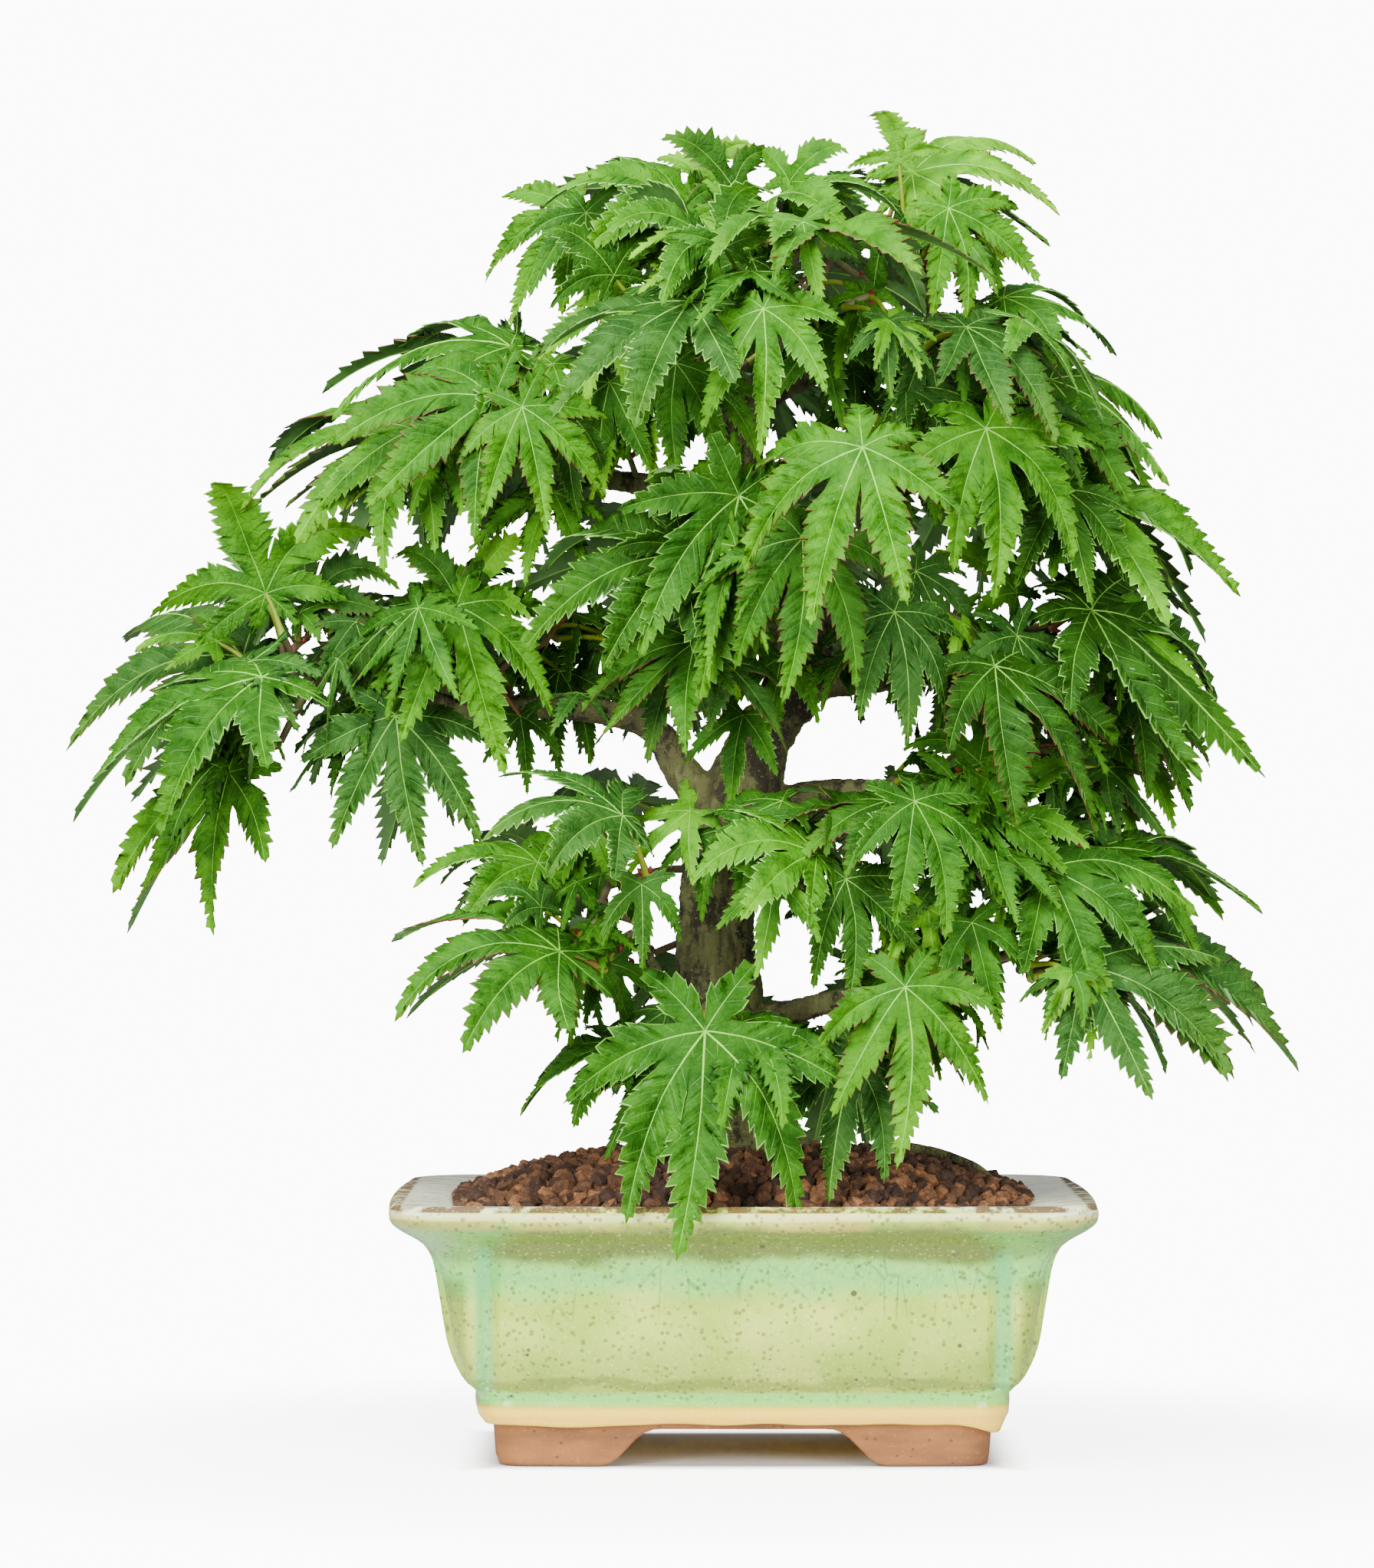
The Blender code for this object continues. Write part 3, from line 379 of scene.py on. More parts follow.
class Shop:
    """Makes pieces about the pot's axis and hands them to the shared frame."""

    low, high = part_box("pot")
    axis = np.array(((low[0] + high[0]) / 2, (low[1] + high[1]) / 2, 0.0)) / MM

    @classmethod
    def centre(cls) -> tuple[float, float]:
        """The pot's axis in the shared frame, in millimetres."""
        return float(cls.axis[0]), float(cls.axis[1])

    @classmethod
    def piece(cls, name: str, verts: Array, faces: Sequence[Array], materials: Sequence[bpy.types.Material],
              slots: Array | None = None, smooth: bool = True,
              values: dict[str, Array] | None = None) -> bpy.types.Object:
        """A mesh object.

        Args:
            name: Its name.
            verts: Points in millimetres about the pot's axis.
            faces: Arrays of faces, one array for each count of corners.
            materials: Its materials.
            slots: The material's index for each face.
            smooth: Whether its faces are shaded smooth.
            values: Numbers for each point, by attribute name.

        Returns:
            The object.
        """
        mesh = bpy.data.meshes.new(name)
        points = (np.asarray(verts, float) + cls.axis) * MM
        mesh.vertices.add(len(points))
        mesh.vertices.foreach_set("co", points.astype(np.float32).ravel())
        parts = [np.asarray(part, np.int32) for part in faces if len(part)]
        if parts:
            loops = np.concatenate([part.ravel() for part in parts])
            counts = np.concatenate([np.full(len(part), part.shape[1]) for part in parts])
            mesh.loops.add(len(loops))
            mesh.loops.foreach_set("vertex_index", loops)
            mesh.polygons.add(len(counts))
            mesh.polygons.foreach_set("loop_start", np.concatenate(([0], np.cumsum(counts)[:-1])))
            mesh.polygons.foreach_set("use_smooth", np.full(len(counts), smooth))
            if slots is not None:
                mesh.polygons.foreach_set("material_index", np.asarray(slots, np.int32))
        for material in materials:
            mesh.materials.append(material)
        for key, numbers in (values or {}).items():
            layer = mesh.attributes.new(key, "FLOAT", "POINT")
            layer.data.foreach_set("value", np.asarray(numbers, np.float32))
        mesh.update(calc_edges=True)
        obj = bpy.data.objects.new(name, mesh)
        bpy.context.collection.objects.link(obj)
        return obj

    @classmethod
    def wires(cls, name: str, lines: Sequence[Sequence[Array]], radii: Sequence[Sequence[float]]
              ) -> bpy.types.Object:
        """Open lines with a thickness at each point, for a tree that follows them.

        Args:
            name: The object's name.
            lines: The lines, in millimetres.
            radii: The thickness along each.

        Returns:
            The object.
        """
        obj = cls.piece(name, np.array([p for line in lines for p in line]), (), ())
        mesh = obj.data
        edges = []
        first = 0
        for line in lines:
            edges += [(first + k, first + k + 1) for k in range(len(line) - 1)]
            first += len(line)
        mesh.edges.add(len(edges))
        mesh.edges.foreach_set("vertices", np.array(edges, np.int32).ravel())
        layer = mesh.attributes.new("thickness", "FLOAT", "POINT")
        layer.data.foreach_set("value", np.array([r * MM for line in radii for r in line], np.float32))
        mesh.update()
        return obj

    @classmethod
    def points(cls, obj: bpy.types.Object) -> Array:
        """An object's points, in millimetres about the pot's axis.

        Args:
            obj: The object.

        Returns:
            The points.
        """
        flat = np.empty(len(obj.data.vertices) * 3, np.float32)
        obj.data.vertices.foreach_get("co", flat)
        return flat.reshape(-1, 3).astype(float) / MM - cls.axis

    @classmethod
    def move(cls, obj: bpy.types.Object, points: Array) -> None:
        """Puts an object's points in new places.

        Args:
            obj: The object.
            points: The places.
        """
        flat = ((points + cls.axis) * MM).astype(np.float32).ravel()
        obj.data.vertices.foreach_set("co", flat)
        obj.data.update()

    @staticmethod
    def normals(obj: bpy.types.Object) -> Array:
        """The normals at an object's points.

        Args:
            obj: The object.

        Returns:
            The normals.
        """
        flat = np.empty(len(obj.data.vertices) * 3, np.float32)
        obj.data.vertex_normals.foreach_get("vector", flat)
        return flat.reshape(-1, 3).astype(float)

    @classmethod
    def read(cls, obj: bpy.types.Object) -> tuple[Array, tuple[Array]]:
        """An object's points and its four-cornered faces."""
        faces = np.array([tuple(face.vertices) for face in obj.data.polygons if len(face.vertices) == 4])
        return cls.points(obj), (faces,)

    @staticmethod
    def settle(obj: bpy.types.Object) -> bpy.types.Object:
        """Makes what the object's modifiers give its own plain mesh.

        Args:
            obj: The object.

        Returns:
            The same object.
        """
        graph = bpy.context.evaluated_depsgraph_get()
        graph.update()
        mesh = bpy.data.meshes.new_from_object(obj.evaluated_get(graph))
        obj.modifiers.clear()
        old = obj.data
        obj.data = mesh
        bpy.data.meshes.remove(old)
        mesh.name = obj.name
        return obj

    @staticmethod
    def hand_over(obj: bpy.types.Object, slot: str, nodes: Sequence[str] = ()) -> None:
        """Gives a finished piece to the shared frame.

        Args:
            obj: The piece.
            slot: The record's material slot; not used.
            nodes: The solids that it stands for.
        """
        if nodes:
            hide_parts(*nodes)
        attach(obj, BODY)
        obj.data.calc_loop_triangles()
        LOG.info("%s: %d triangles", obj.name, len(obj.data.loop_triangles))


def skin(rings: Sequence[Array], closed: bool = False) -> Array:
    """The faces between rings of equal point counts, pointing outwards for rings that rise anticlockwise.

    Args:
        rings: The rings, in order.
        closed: Whether the last ring joins the first.

    Returns:
        The faces, four corners each.
    """
    count = len(rings[0])
    k = np.arange(count)
    nxt = (k + 1) % count
    faces = []
    for r in range(len(rings) - (0 if closed else 1)):
        low = r * count
        high = (r + 1) % len(rings) * count
        faces.append(np.stack((low + k, low + nxt, high + nxt, high + k), axis=1))
    return np.concatenate(faces)


@dataclass(frozen=True)
class GlazeTones:
    """Colours of the glaze and of the bare clay."""

    body: Color = (0.38, 0.56, 0.042)
    pale: Color = (0.60, 0.72, 0.09)
    olive: Color = (0.085, 0.130, 0.007)
    moss: Color = (0.045, 0.085, 0.014)
    aqua: Color = (0.22, 0.70, 0.12)
    deep_aqua: Color = (0.08, 0.52, 0.16)
    rim: Color = (0.10, 0.046, 0.012)
    tan: Color = (0.62, 0.42, 0.09)
    rim_top: Color = (0.86, 0.87, 0.62)
    cream: Color = (0.98, 0.60, 0.04)
    # Painted highlight along the lip's outer face.
    lip_highlight: Color = (0.95, 0.90, 0.50)
    grain: Color = (0.8, 0.88, 0.3)
    speck: Color = (0.035, 0.03, 0.012)
    clay: Color = (0.31, 0.120, 0.030)
    clay_dark: Color = (0.17, 0.066, 0.022)
    clay_grain: Color = (0.52, 0.27, 0.11)
    clay_edge: Color = (0.09, 0.045, 0.02)
    clay_pit: Color = (0.07, 0.035, 0.02)


@dataclass
class Pot:
    """The pot: bowed panels between grooved corner columns, a thick lip and an arched foot."""

    width: float = 149.0
    depth_less: float = 30.0
    foot_height: float = 9.3
    bulge: float = 1.3
    groove_width: float = 3.2
    groove_dip: float = 2.05
    groove_setback: float = 1.5
    groove_x: float = 52.0
    panel_end: float = 0.96
    panel_back: float = 0.92
    foot_wall: float = 9.0
    foot_low: float = 52.4
    foot_high: float = 53.6
    arch_height: float = 7.8
    front_arch: tuple[float, float] = (30.0, 18.0)
    side_arch: tuple[float, float] = (13.0, 8.0)
    front_from: float = 26.0
    side_from: float = 42.0
    inner_half: float = 51.5
    inner_corner: float = 7.0
    floor_z: float = 16.3
    drain_radius: float = 5.0
    tones: GlazeTones = field(default_factory=GlazeTones)
    # Height, half width, corner radius and groove depth, from the glaze's lower edge to the lip.
    outside: tuple[tuple[float, ...], ...] = (
        (9.3, 55.0, 8.0, 0.0), (10.6, 56.3, 8.0, 0.0), (12.6, 56.6, 8.0, 0.0), (14.4, 56.2, 7.0, 0.0),
        (15.8, 57.0, 6.0, 0.2), (19.0, 59.8, 5.0, 0.9), (25.0, 62.4, 6.0, 1.0), (34.0, 64.0, 8.0, 1.0),
        (42.5, 65.6, 9.0, 0.8), (46.5, 68.0, 11.0, 0.3), (49.4, 72.0, 13.0, 0.0), (51.0, 73.9, 13.7, 0.0),
        (52.6, 74.5, 14.0, 0.0), (54.0, 74.3, 13.9, 0.0), (55.0, 73.3, 13.5, 0.0), (55.2, 71.9, 13.0, 0.0),
        (54.9, 67.0, 11.6, 0.0), (54.5, 63.0, 10.4, 0.0), (54.0, 61.4, 10.0, 0.0), (52.9, 60.2, 9.7, 0.0),
        (48.0, 59.0, 9.3, 0.0))

    def ring(self, half: float, corner: float, groove: float, z: float) -> Array:
        """One level ring of the wall.

        Args:
            half: Half width at the middle of the short side.
            corner: Radius of the corner.
            groove: Depth of the corner grooves, 0 to 1.
            z: Height.

        Returns:
            The ring's points.
        """
        reach = self.bulge + self.groove_setback * groove
        half_depth = half - self.depth_less / 2
        free = half - reach - corner - self.groove_width
        grip = min(1.0, groove / 0.5)
        edge = free + (self.groove_x - free) * grip
        radius = half - reach - edge - self.groove_width
        short = edge - self.depth_less / 2
        panel = self.bulge * self.panel_back

        def dip(near: float, far: float, s: float) -> float:
            """How far back the wall lies at a share of the way through a groove."""
            return near * (1 - s) + far * s + self.groove_dip * groove * math.sin(math.pi * s) ** 1.3

        through = np.linspace(0.0, 1.0, 9)[1:-1]
        quarter = [(t * edge, half_depth - self.bulge * t * t) for t in np.linspace(0.0, self.panel_end, 22)]
        quarter += [(self.panel_end * edge * (1 - s) + (edge + self.groove_width) * s,
                     half_depth - dip(panel, reach, s)) for s in through]
        quarter += [(edge + self.groove_width + radius * math.cos(angle),
                     short + self.groove_width + radius * math.sin(angle))
                    for angle in np.linspace(math.pi / 2, 0.0, 12)]
        quarter += [(half - dip(reach, panel, s),
                     (short + self.groove_width) * (1 - s) + self.panel_end * short * s) for s in through]
        quarter += [(half - self.bulge * t * t, t * short) for t in np.linspace(self.panel_end, 0.0, 16)]
        front = np.array([(x, -y, z) for x, y in quarter])
        right = np.array([(x, y, z) for x, y in reversed(quarter[:-1])])
        back = np.array([(-x, y, z) for x, y in quarter[1:]])
        left = np.array([(-x, -y, z) for x, y in reversed(quarter[1:-1])])
        return np.concatenate((front, right, back, left))

    def arch(self, place: float, span: tuple[float, float]) -> float:
        """Height of the foot's lower edge at a distance from the middle of a side.

        Args:
            place: The distance.
            span: Half lengths of the arch's foot and of its flat top.

        Returns:
            The height.
        """
        low, high = span
        if abs(place) >= low:
            return 0.0
        t = min(1.0, (low - abs(place)) / (low - high))
        return self.arch_height * (t - 0.12 * math.sin(2 * math.pi * t))

    def body_mesh(self) -> tuple[Array, Array]:
        """The glazed bowl as one closed wall, from its lower edge over the lip to its floor and drain.

        Returns:
            Its points and faces.
        """
        rows = catmull(self.outside, 4)
        rings = [self.ring(half, corner, max(groove, 0.0), z) for z, half, corner, groove in rows]
        for k, ring in enumerate(rings[:3]):
            for point in ring:
                wave = noise.noise(Vector((point[0] * 0.09, point[1] * 0.09, 3.1)))
                run = 2.2 * math.exp(-((point[0] - 51) ** 2 + (point[1] + 34) ** 2) / 30)
                point[2] -= (0.35 + 0.7 * wave + run) * (1 - k / 3)
        inner = self.ring(self.inner_half, self.inner_corner, 0.0, self.floor_z)
        below = rings[0] * (0.9, 0.9, 1.0)
        circle = np.array([(*(self.drain_radius * unit(p[:2])), 0.0) for p in inner])
        rings = [circle + (0, 0, self.foot_height), below * (1, 1, 0) + (0, 0, self.foot_height)] + rings
        rings += [inner, circle + (0, 0, self.floor_z)]
        return np.concatenate(rings), skin(rings, closed=True)

    def foot_mesh(self) -> tuple[Array, Array]:
        """The bare foot: a ring wall whose lower edge rises in an arch on each side.

        Returns:
            Its points and faces.
        """
        def bow(point: Array) -> float:
            """Height of the foot's lower edge at a point."""
            front = self.arch(point[0], self.front_arch) if abs(point[1]) > self.front_from else 0.0
            side = self.arch(point[1], self.side_arch) if abs(point[0]) > self.side_from else 0.0
            return max(front, side)

        # Half width, corner radius and lift of the rings round the lower edge.
        inside = self.foot_low - self.foot_wall
        levels = ((inside, 3.0, 0.5), (inside + 0.6, 3.2, 0.0), (self.foot_low - 0.9, 6.2, 0.0),
                  (self.foot_low - 0.25, 6.8, 0.22), (self.foot_low, 7.0, 0.8))
        rings = [self.ring(self.foot_high - self.foot_wall, 3.0, 0.0, self.foot_height + 1.5)]
        for half, corner, lift in levels:
            ring = self.ring(half, corner, 0.0, 0.0)
            for point in ring:
                point[2] = bow(point) + lift
            rings.append(ring)
        rings.append(self.ring((self.foot_low + self.foot_high) / 2, 7.0, 0.0, 8.9))
        for point in rings[-1]:
            point[2] = max(point[2], bow(point) + 1.0)
        rings.append(self.ring(self.foot_high, 7.0, 0.0, self.foot_height + 1.5))
        return np.concatenate(rings), skin(rings, closed=True)

    def glaze(self) -> bpy.types.Material:
        """The glaze: bands by height, pooled aqua in the grooves, iron specks, fine cracks and a worn rim, with
        painted shade under the lip and along the foot moulding and a painted highlight on the lip.

        Returns:
            The material.
        """
        look = Finish("celadon_glaze", 0.16, coat=0.22)
        look.shader.inputs["Specular IOR Level"].default_value = 0.34
        tones = self.tones
        spot = look.pot_place()
        x, y, z = look.axes(spot)
        drift = look.noise(look.pot_place(1.0, 1.0, 1.6), 16.0, 3.0)
        wavy = z + (drift - 0.5) * 7.0
        cloud = look.noise(spot, 18.0, 4.0)
        fine = look.noise(spot, 1.1, 4.0, 0.65)
        look.color = look.mix(cloud.above(0.36, 0.64), tones.body, tones.pale)
        look.lay((1 - z.above(19.0, 33.0)) * 0.42, tones.olive)
        # Darker olive band under the lip: partly the glaze's own colour, partly painted shade under the lip's
        # overhang.
        look.lay(wavy.between(44.5, 50.0, 3.0) * 0.92, tones.olive)
        look.lay(wavy.between(38.6, 41.4, 4.2) * 0.8, tones.aqua)
        look.lay(wavy.between(40.0, 41.6, 2.4) * fine.above(0.4, 0.66) * 0.55, tones.deep_aqua)
        groove = abs(abs(x) - 53.6).above(0.9, 2.6)
        side = abs(abs(y) - 38.6).above(0.9, 2.6)
        pooled = (1 - groove * side) * wavy.between(17.0, 44.0, 4.0)
        look.lay(pooled * 0.7, tones.deep_aqua)
        corner = (abs(x) + abs(y)).above(99.0, 110.0)
        look.lay(corner * wavy.between(36.0, 49.0, 4.0) * 0.45, tones.aqua)
        column = abs(x).above(56.0, 58.5) * abs(y).above(40.0, 43.0)
        look.lay(column * z.between(16.0, 38.0, 3.0) * 0.55, tones.olive)
        # Painted shade: a faint olive line where the foot moulding shades the wall.
        look.lay(wavy.between(17.0, 18.0, 1.2) * 0.5, tones.olive)
        look.lay(z.between(13.6, 15.4, 0.9) * 0.75, tones.aqua)
        look.lay((1 - z.above(11.8, 13.6)) * 0.92, tones.cream)
        lip = z + (drift - 0.5) * 1.4
        half = look.out("ShaderNodeMath", {"operation": "MAXIMUM"},
                        {0: abs(x), 1: abs(y) + self.depth_less / 2})
        top = z.above(53.2, 53.8) * (1 - half.above(72.4, 73.4))
        look.lay(lip.between(50.8, 53.0, 1.0) * look.noise(spot, 8.0, 3.0).above(0.4, 0.62) * 0.5, tones.tan)
        # Painted highlight: a pale band along the lip's outer face, under the brown rim line.
        look.lay(lip.between(52.6, 53.6, 0.5) * 0.5, tones.lip_highlight)
        worn = look.noise(spot, 5.0, 4.0, 0.62)
        look.lay(top * 0.85, tones.rim_top)
        edge = z.above(53.8, 54.2) * half.above(69.6, 70.8) * worn.above(0.36, 0.5)
        look.lay(edge * 0.95, tones.rim)
        streak = look.noise(look.pot_place(0.22, 1.0, 1.0), 3.4, 4.0, 0.6)
        look.lay(top * streak.above(0.5, 0.62) * 0.6, tones.rim)
        dots = 1 - look.cells(spot, 1.5).above(0.2, 0.4)
        dotted = dots * look.noise(spot, 3.0, 3.0, 0.6).above(0.38, 0.54) * z.above(13.0, 15.0)
        look.lay(dotted * 0.62, tones.moss)
        pale_grain = look.noise(spot, 0.7, 2.0, 0.6).above(0.58, 0.72)
        look.lay(pale_grain * 0.4, tones.grain)
        specks = 1 - look.cells(spot, 3.4).above(0.07, 0.13)
        chosen = look.noise(spot, 5.1, 1.0).above(0.56, 0.6)
        look.lay(specks * chosen * 0.9, tones.speck)
        rust = 1 - look.cells(look.place((1.0, 1.0, 1.0), (3.0, 5.0)), 17.0).above(0.03, 0.046)
        look.lay(rust * 0.85, tones.speck)
        crack = 1 - look.cells(look.pot_place(1.0, 1.0, 0.2), 7.0, "DISTANCE_TO_EDGE").above(0.004, 0.018)
        cracked = crack * z.between(33.0, 44.0, 3.0) * look.noise(spot, 12.0, 2.0).above(0.42, 0.56)
        look.lay(cracked * 0.4, tones.moss)
        look.feed("Base Color", look.color)
        look.feed("Roughness", 0.16 + fine * 0.16 + edge * 0.6)
        look.feed("Coat Weight", (1 - edge) * 0.22)
        ripple = look.noise(spot, 4.0, 2.0)
        look.bump(fine * 0.45 + ripple * 1.0 - cracked * 0.2 - specks * chosen * 0.6, 0.16)
        return look.material

    def clay(self) -> bpy.types.Material:
        """The bare clay of the foot, rough and speckled.

        Returns:
            The material.
        """
        look = Finish("bare_clay", 0.82)
        spot = look.pot_place()
        z = look.axes(spot)[2]
        grain = look.noise(spot, 0.8, 4.0, 0.7)
        cloud = look.noise(look.pot_place(0.4, 0.4, 1.4), 7.0, 4.0)
        tones = self.tones
        look.color = look.mix(cloud.above(0.3, 0.7), tones.clay, tones.clay_dark)
        look.lay(grain.above(0.56, 0.74) * 0.45, tones.clay_grain)
        look.lay((1 - z.above(-0.2, 1.4)) * 0.5, tones.clay_edge)
        pits = 1 - look.cells(spot, 2.6).above(0.06, 0.15)
        look.lay(pits * 0.6, tones.clay_pit)
        look.feed("Base Color", look.color)
        look.feed("Roughness", 0.68 + grain * 0.24)
        look.bump(grain * 0.7 + cloud * 0.8 - pits * 0.8, 0.22)
        return look.material

    def build(self) -> None:
        """Makes the bowl and the foot, which stand for the pot's solid."""
        verts, faces = self.body_mesh()
        bowl = Shop.piece("pot_glazed_bowl", verts, (faces,), (self.glaze(),))
        Shop.hand_over(bowl, "glazed_stoneware", ("pot",))
        verts, faces = self.foot_mesh()
        foot = Shop.piece("pot_clay_foot", verts, (faces,), (self.clay(),))
        Shop.hand_over(foot, "glazed_stoneware", ("pot",))


class GranuleTone(Enum):
    """The colours of the baked-clay granules, each with its share of them."""

    DARK = ((0.052, 0.021, 0.008), 0.0, 0.36)
    BROWN = ((0.125, 0.052, 0.018), 0.36, 0.74)
    RED = ((0.240, 0.100, 0.034), 0.74, 1.01)

    def finish(self) -> bpy.types.Material:
        """The granule's dull, pitted clay in this tone.

        Returns:
            The material.
        """
        look = Finish("clay_" + self.name.lower(), 0.9)
        spot = look.place()
        cloud = look.noise(spot, 1.6, 4.0, 0.6)
        base = self.value[0]
        dark = tuple(c * 0.35 for c in base)
        light = tuple(min(1.0, c * 2.2 + 0.01) for c in base)
        look.color = look.mix(cloud.above(0.3, 0.72), dark, base)
        look.lay(look.noise(spot, 0.5, 3.0).above(0.56, 0.74) * 0.6, light)
        look.feed("Base Color", look.color)
        look.bump(look.noise(spot, 0.35, 3.0, 0.6), 0.12)
        return look.material


@dataclass
class Soil:
    """The filling of the pot: a mounded bed, loose granules of baked clay and a slim surface root."""

    half_width: float = 61.6
    depth_less: float = 30.0
    edge_z: float = 53.0
    top_z: float = 63.2
    squareness: float = 2.6
    seat: tuple[float, float] = (-0.4, 0.0)
    seat_radius: float = 19.0
    bed_half: float = 60.2
    bed_corner: float = 9.6
    grain: float = 1.95
    spacing: float = 2.7
    relief_seed: int = 7
    root_start: tuple[float, float] = (30.0, 12.0)
    root_end: tuple[float, float] = (52.0, 2.0)

    def height(self, x: float, y: float) -> float:
        """Height of the mound at a place in the pot.

        Args:
            x: The place across the pot.
            y: The place from front to back.

        Returns:
            The height.
        """
        power = self.squareness
        half_depth = self.half_width - self.depth_less / 2
        share = (abs(x / self.half_width) ** power + abs(y / half_depth) ** power) ** (1 / power)
        mound = self.edge_z + (self.top_z - self.edge_z) * (1 - min(share, 1.0) ** 3)
        if math.hypot(x - self.seat[0], y - self.seat[1]) < self.seat_radius:
            return self.top_z
        return min(mound, self.top_z)

    def bed(self, pot: Pot, sink: float, closed: bool) -> bpy.types.Object:
        """The mound's surface, or a closed body down into the pot.

        Args:
            pot: The pot that it fills.
            sink: How far under the mound the surface lies.
            closed: Whether it gets sides and an underside.

        Returns:
            The mesh object.
        """
        rim = pot.ring(self.bed_half, self.bed_corner, 0.0, 0.0)
        rings = []
        for share in np.linspace(1.0, 0.02, 22):
            ring = rim * share
            for point in ring:
                point[2] = self.height(point[0], point[1]) - sink
            rings.append(ring)
        if closed:
            low = rim * (0.97, 0.97, 0.0) + (0.0, 0.0, self.edge_z - 8.0)
            rings = [low * (0.02, 0.02, 1.0), low] + rings
        verts = np.concatenate(rings)
        return Shop.piece("soil_bed" if closed else "soil_guide", verts, (skin(rings, closed),), ())

    def strew(self, guide: bpy.types.Object, kind: GranuleTone, layer: int) -> bpy.types.Object:
        """Granules of one tone over a surface.

        Args:
            guide: The surface.
            kind: The tone, whose share of the granules it takes.
            layer: Seed of the layer.

        Returns:
            The joined granules.
        """
        low, high = kind.value[1:]
        inputs = {"Spacing": ("NodeSocketFloat", self.spacing * MM),
                  "Grain": ("NodeSocketFloat", self.grain * MM), "Low": ("NodeSocketFloat", low),
                  "High": ("NodeSocketFloat", high), "Seed": ("NodeSocketInt", layer),
                  "Clay": ("NodeSocketMaterial", kind.finish())}
        tree = Growth("granules", inputs)
        points = tree.out("GeometryNodeDistributePointsOnFaces", {"distribute_method": "POISSON"},
                          {"Mesh": tree.given("Geometry"), "Distance Min": tree.given("Spacing"),
                           "Density Max": 400000.0, "Seed": tree.given("Seed")})
        grain = tree.out("GeometryNodeMeshIcoSphere", None, {"Radius": tree.given("Grain"), "Subdivisions": 2})
        turn = tree.out("FunctionNodeRandomValue", {"data_type": "FLOAT_VECTOR"},
                        {0: (0.0, 0.0, 0.0), 1: (6.3, 6.3, 6.3), 8: 1})
        size = tree.out("FunctionNodeRandomValue", {"data_type": "FLOAT_VECTOR"},
                        {0: (0.72, 0.66, 0.6), 1: (1.35, 1.15, 1.05), 8: 2})
        deal = tree.out("FunctionNodeRandomValue", {"data_type": "FLOAT"}, {2: 0.0, 3: 1.0, 8: 3}, 1)
        chosen = (deal > tree.given("Low")) * (deal < tree.given("High"))
        put = tree.out("GeometryNodeInstanceOnPoints", None,
                       {"Points": points, "Selection": chosen, "Instance": grain, "Rotation": turn,
                        "Scale": size})
        tree.close(put, tree.given("Clay"))
        obj = Shop.piece(f"granules_{kind.name.lower()}_{layer}", *Shop.read(guide), ())
        return tree.bake(obj)

    def crumble(self, obj: bpy.types.Object) -> None:
        """Breaks up the granules' round faces and leaves them flat-shaded.

        Args:
            obj: The granules.
        """
        # without a seed the noise is offset by the clock, so each run would differ
        noise.seed_set(self.relief_seed)
        verts = Shop.points(obj)
        moved = [p + np.array(noise.noise_vector(Vector(p) * 0.55)) * 0.85
                 + np.array(noise.noise_vector(Vector(p) * 1.3)) * 0.4 for p in verts]
        Shop.move(obj, np.array(moved))
        obj.data.polygons.foreach_set("use_smooth", np.zeros(len(obj.data.polygons), bool))

    def root(self, bark: bpy.types.Material) -> bpy.types.Object:
        """The slim root that lies over the granules, right of the trunk.

        Args:
            bark: Its material.

        Returns:
            The root.
        """
        line = []
        for t in np.linspace(-0.12, 1.1, 12):
            x = self.root_start[0] + (self.root_end[0] - self.root_start[0]) * t
            y = self.root_start[1] + (self.root_end[1] - self.root_start[1]) * t + 1.5 * math.sin(5 * t)
            ends = 2.2 * max(0.0, -t, t - 0.95) * 6
            line.append(np.array((x, y, self.height(x, y) + 1.9 + 0.8 * math.sin(math.pi * t) - ends)))
        line = catmull(line, 4)
        radii = [1.45 - 0.6 * k / len(line) + 0.14 * noise.noise(Vector(p) * 0.5) for k, p in enumerate(line)]
        return Tubes(bark, 10).along("surface_root_bark", [line], [radii])

    def build(self, pot: Pot, bark: bpy.types.Material) -> None:
        """Makes the bed, the granules of each tone and the root.

        Args:
            pot: The pot.
            bark: The root's bark.
        """
        bed = self.bed(pot, 1.7, True)
        bed.data.materials.append(GranuleTone.DARK.finish())
        Shop.hand_over(bed, "clay_granules", ("soil",))
        for layer, sink in ((1, 0.9), (2, -0.1)):
            guide = self.bed(pot, sink, False)
            for kind in GranuleTone:
                obj = self.strew(guide, kind, layer)
                self.crumble(obj)
                Shop.hand_over(obj, "clay_granules", ("soil",))
            bpy.data.objects.remove(guide)
        Shop.hand_over(self.root(bark), "bark", ("surface_root",))


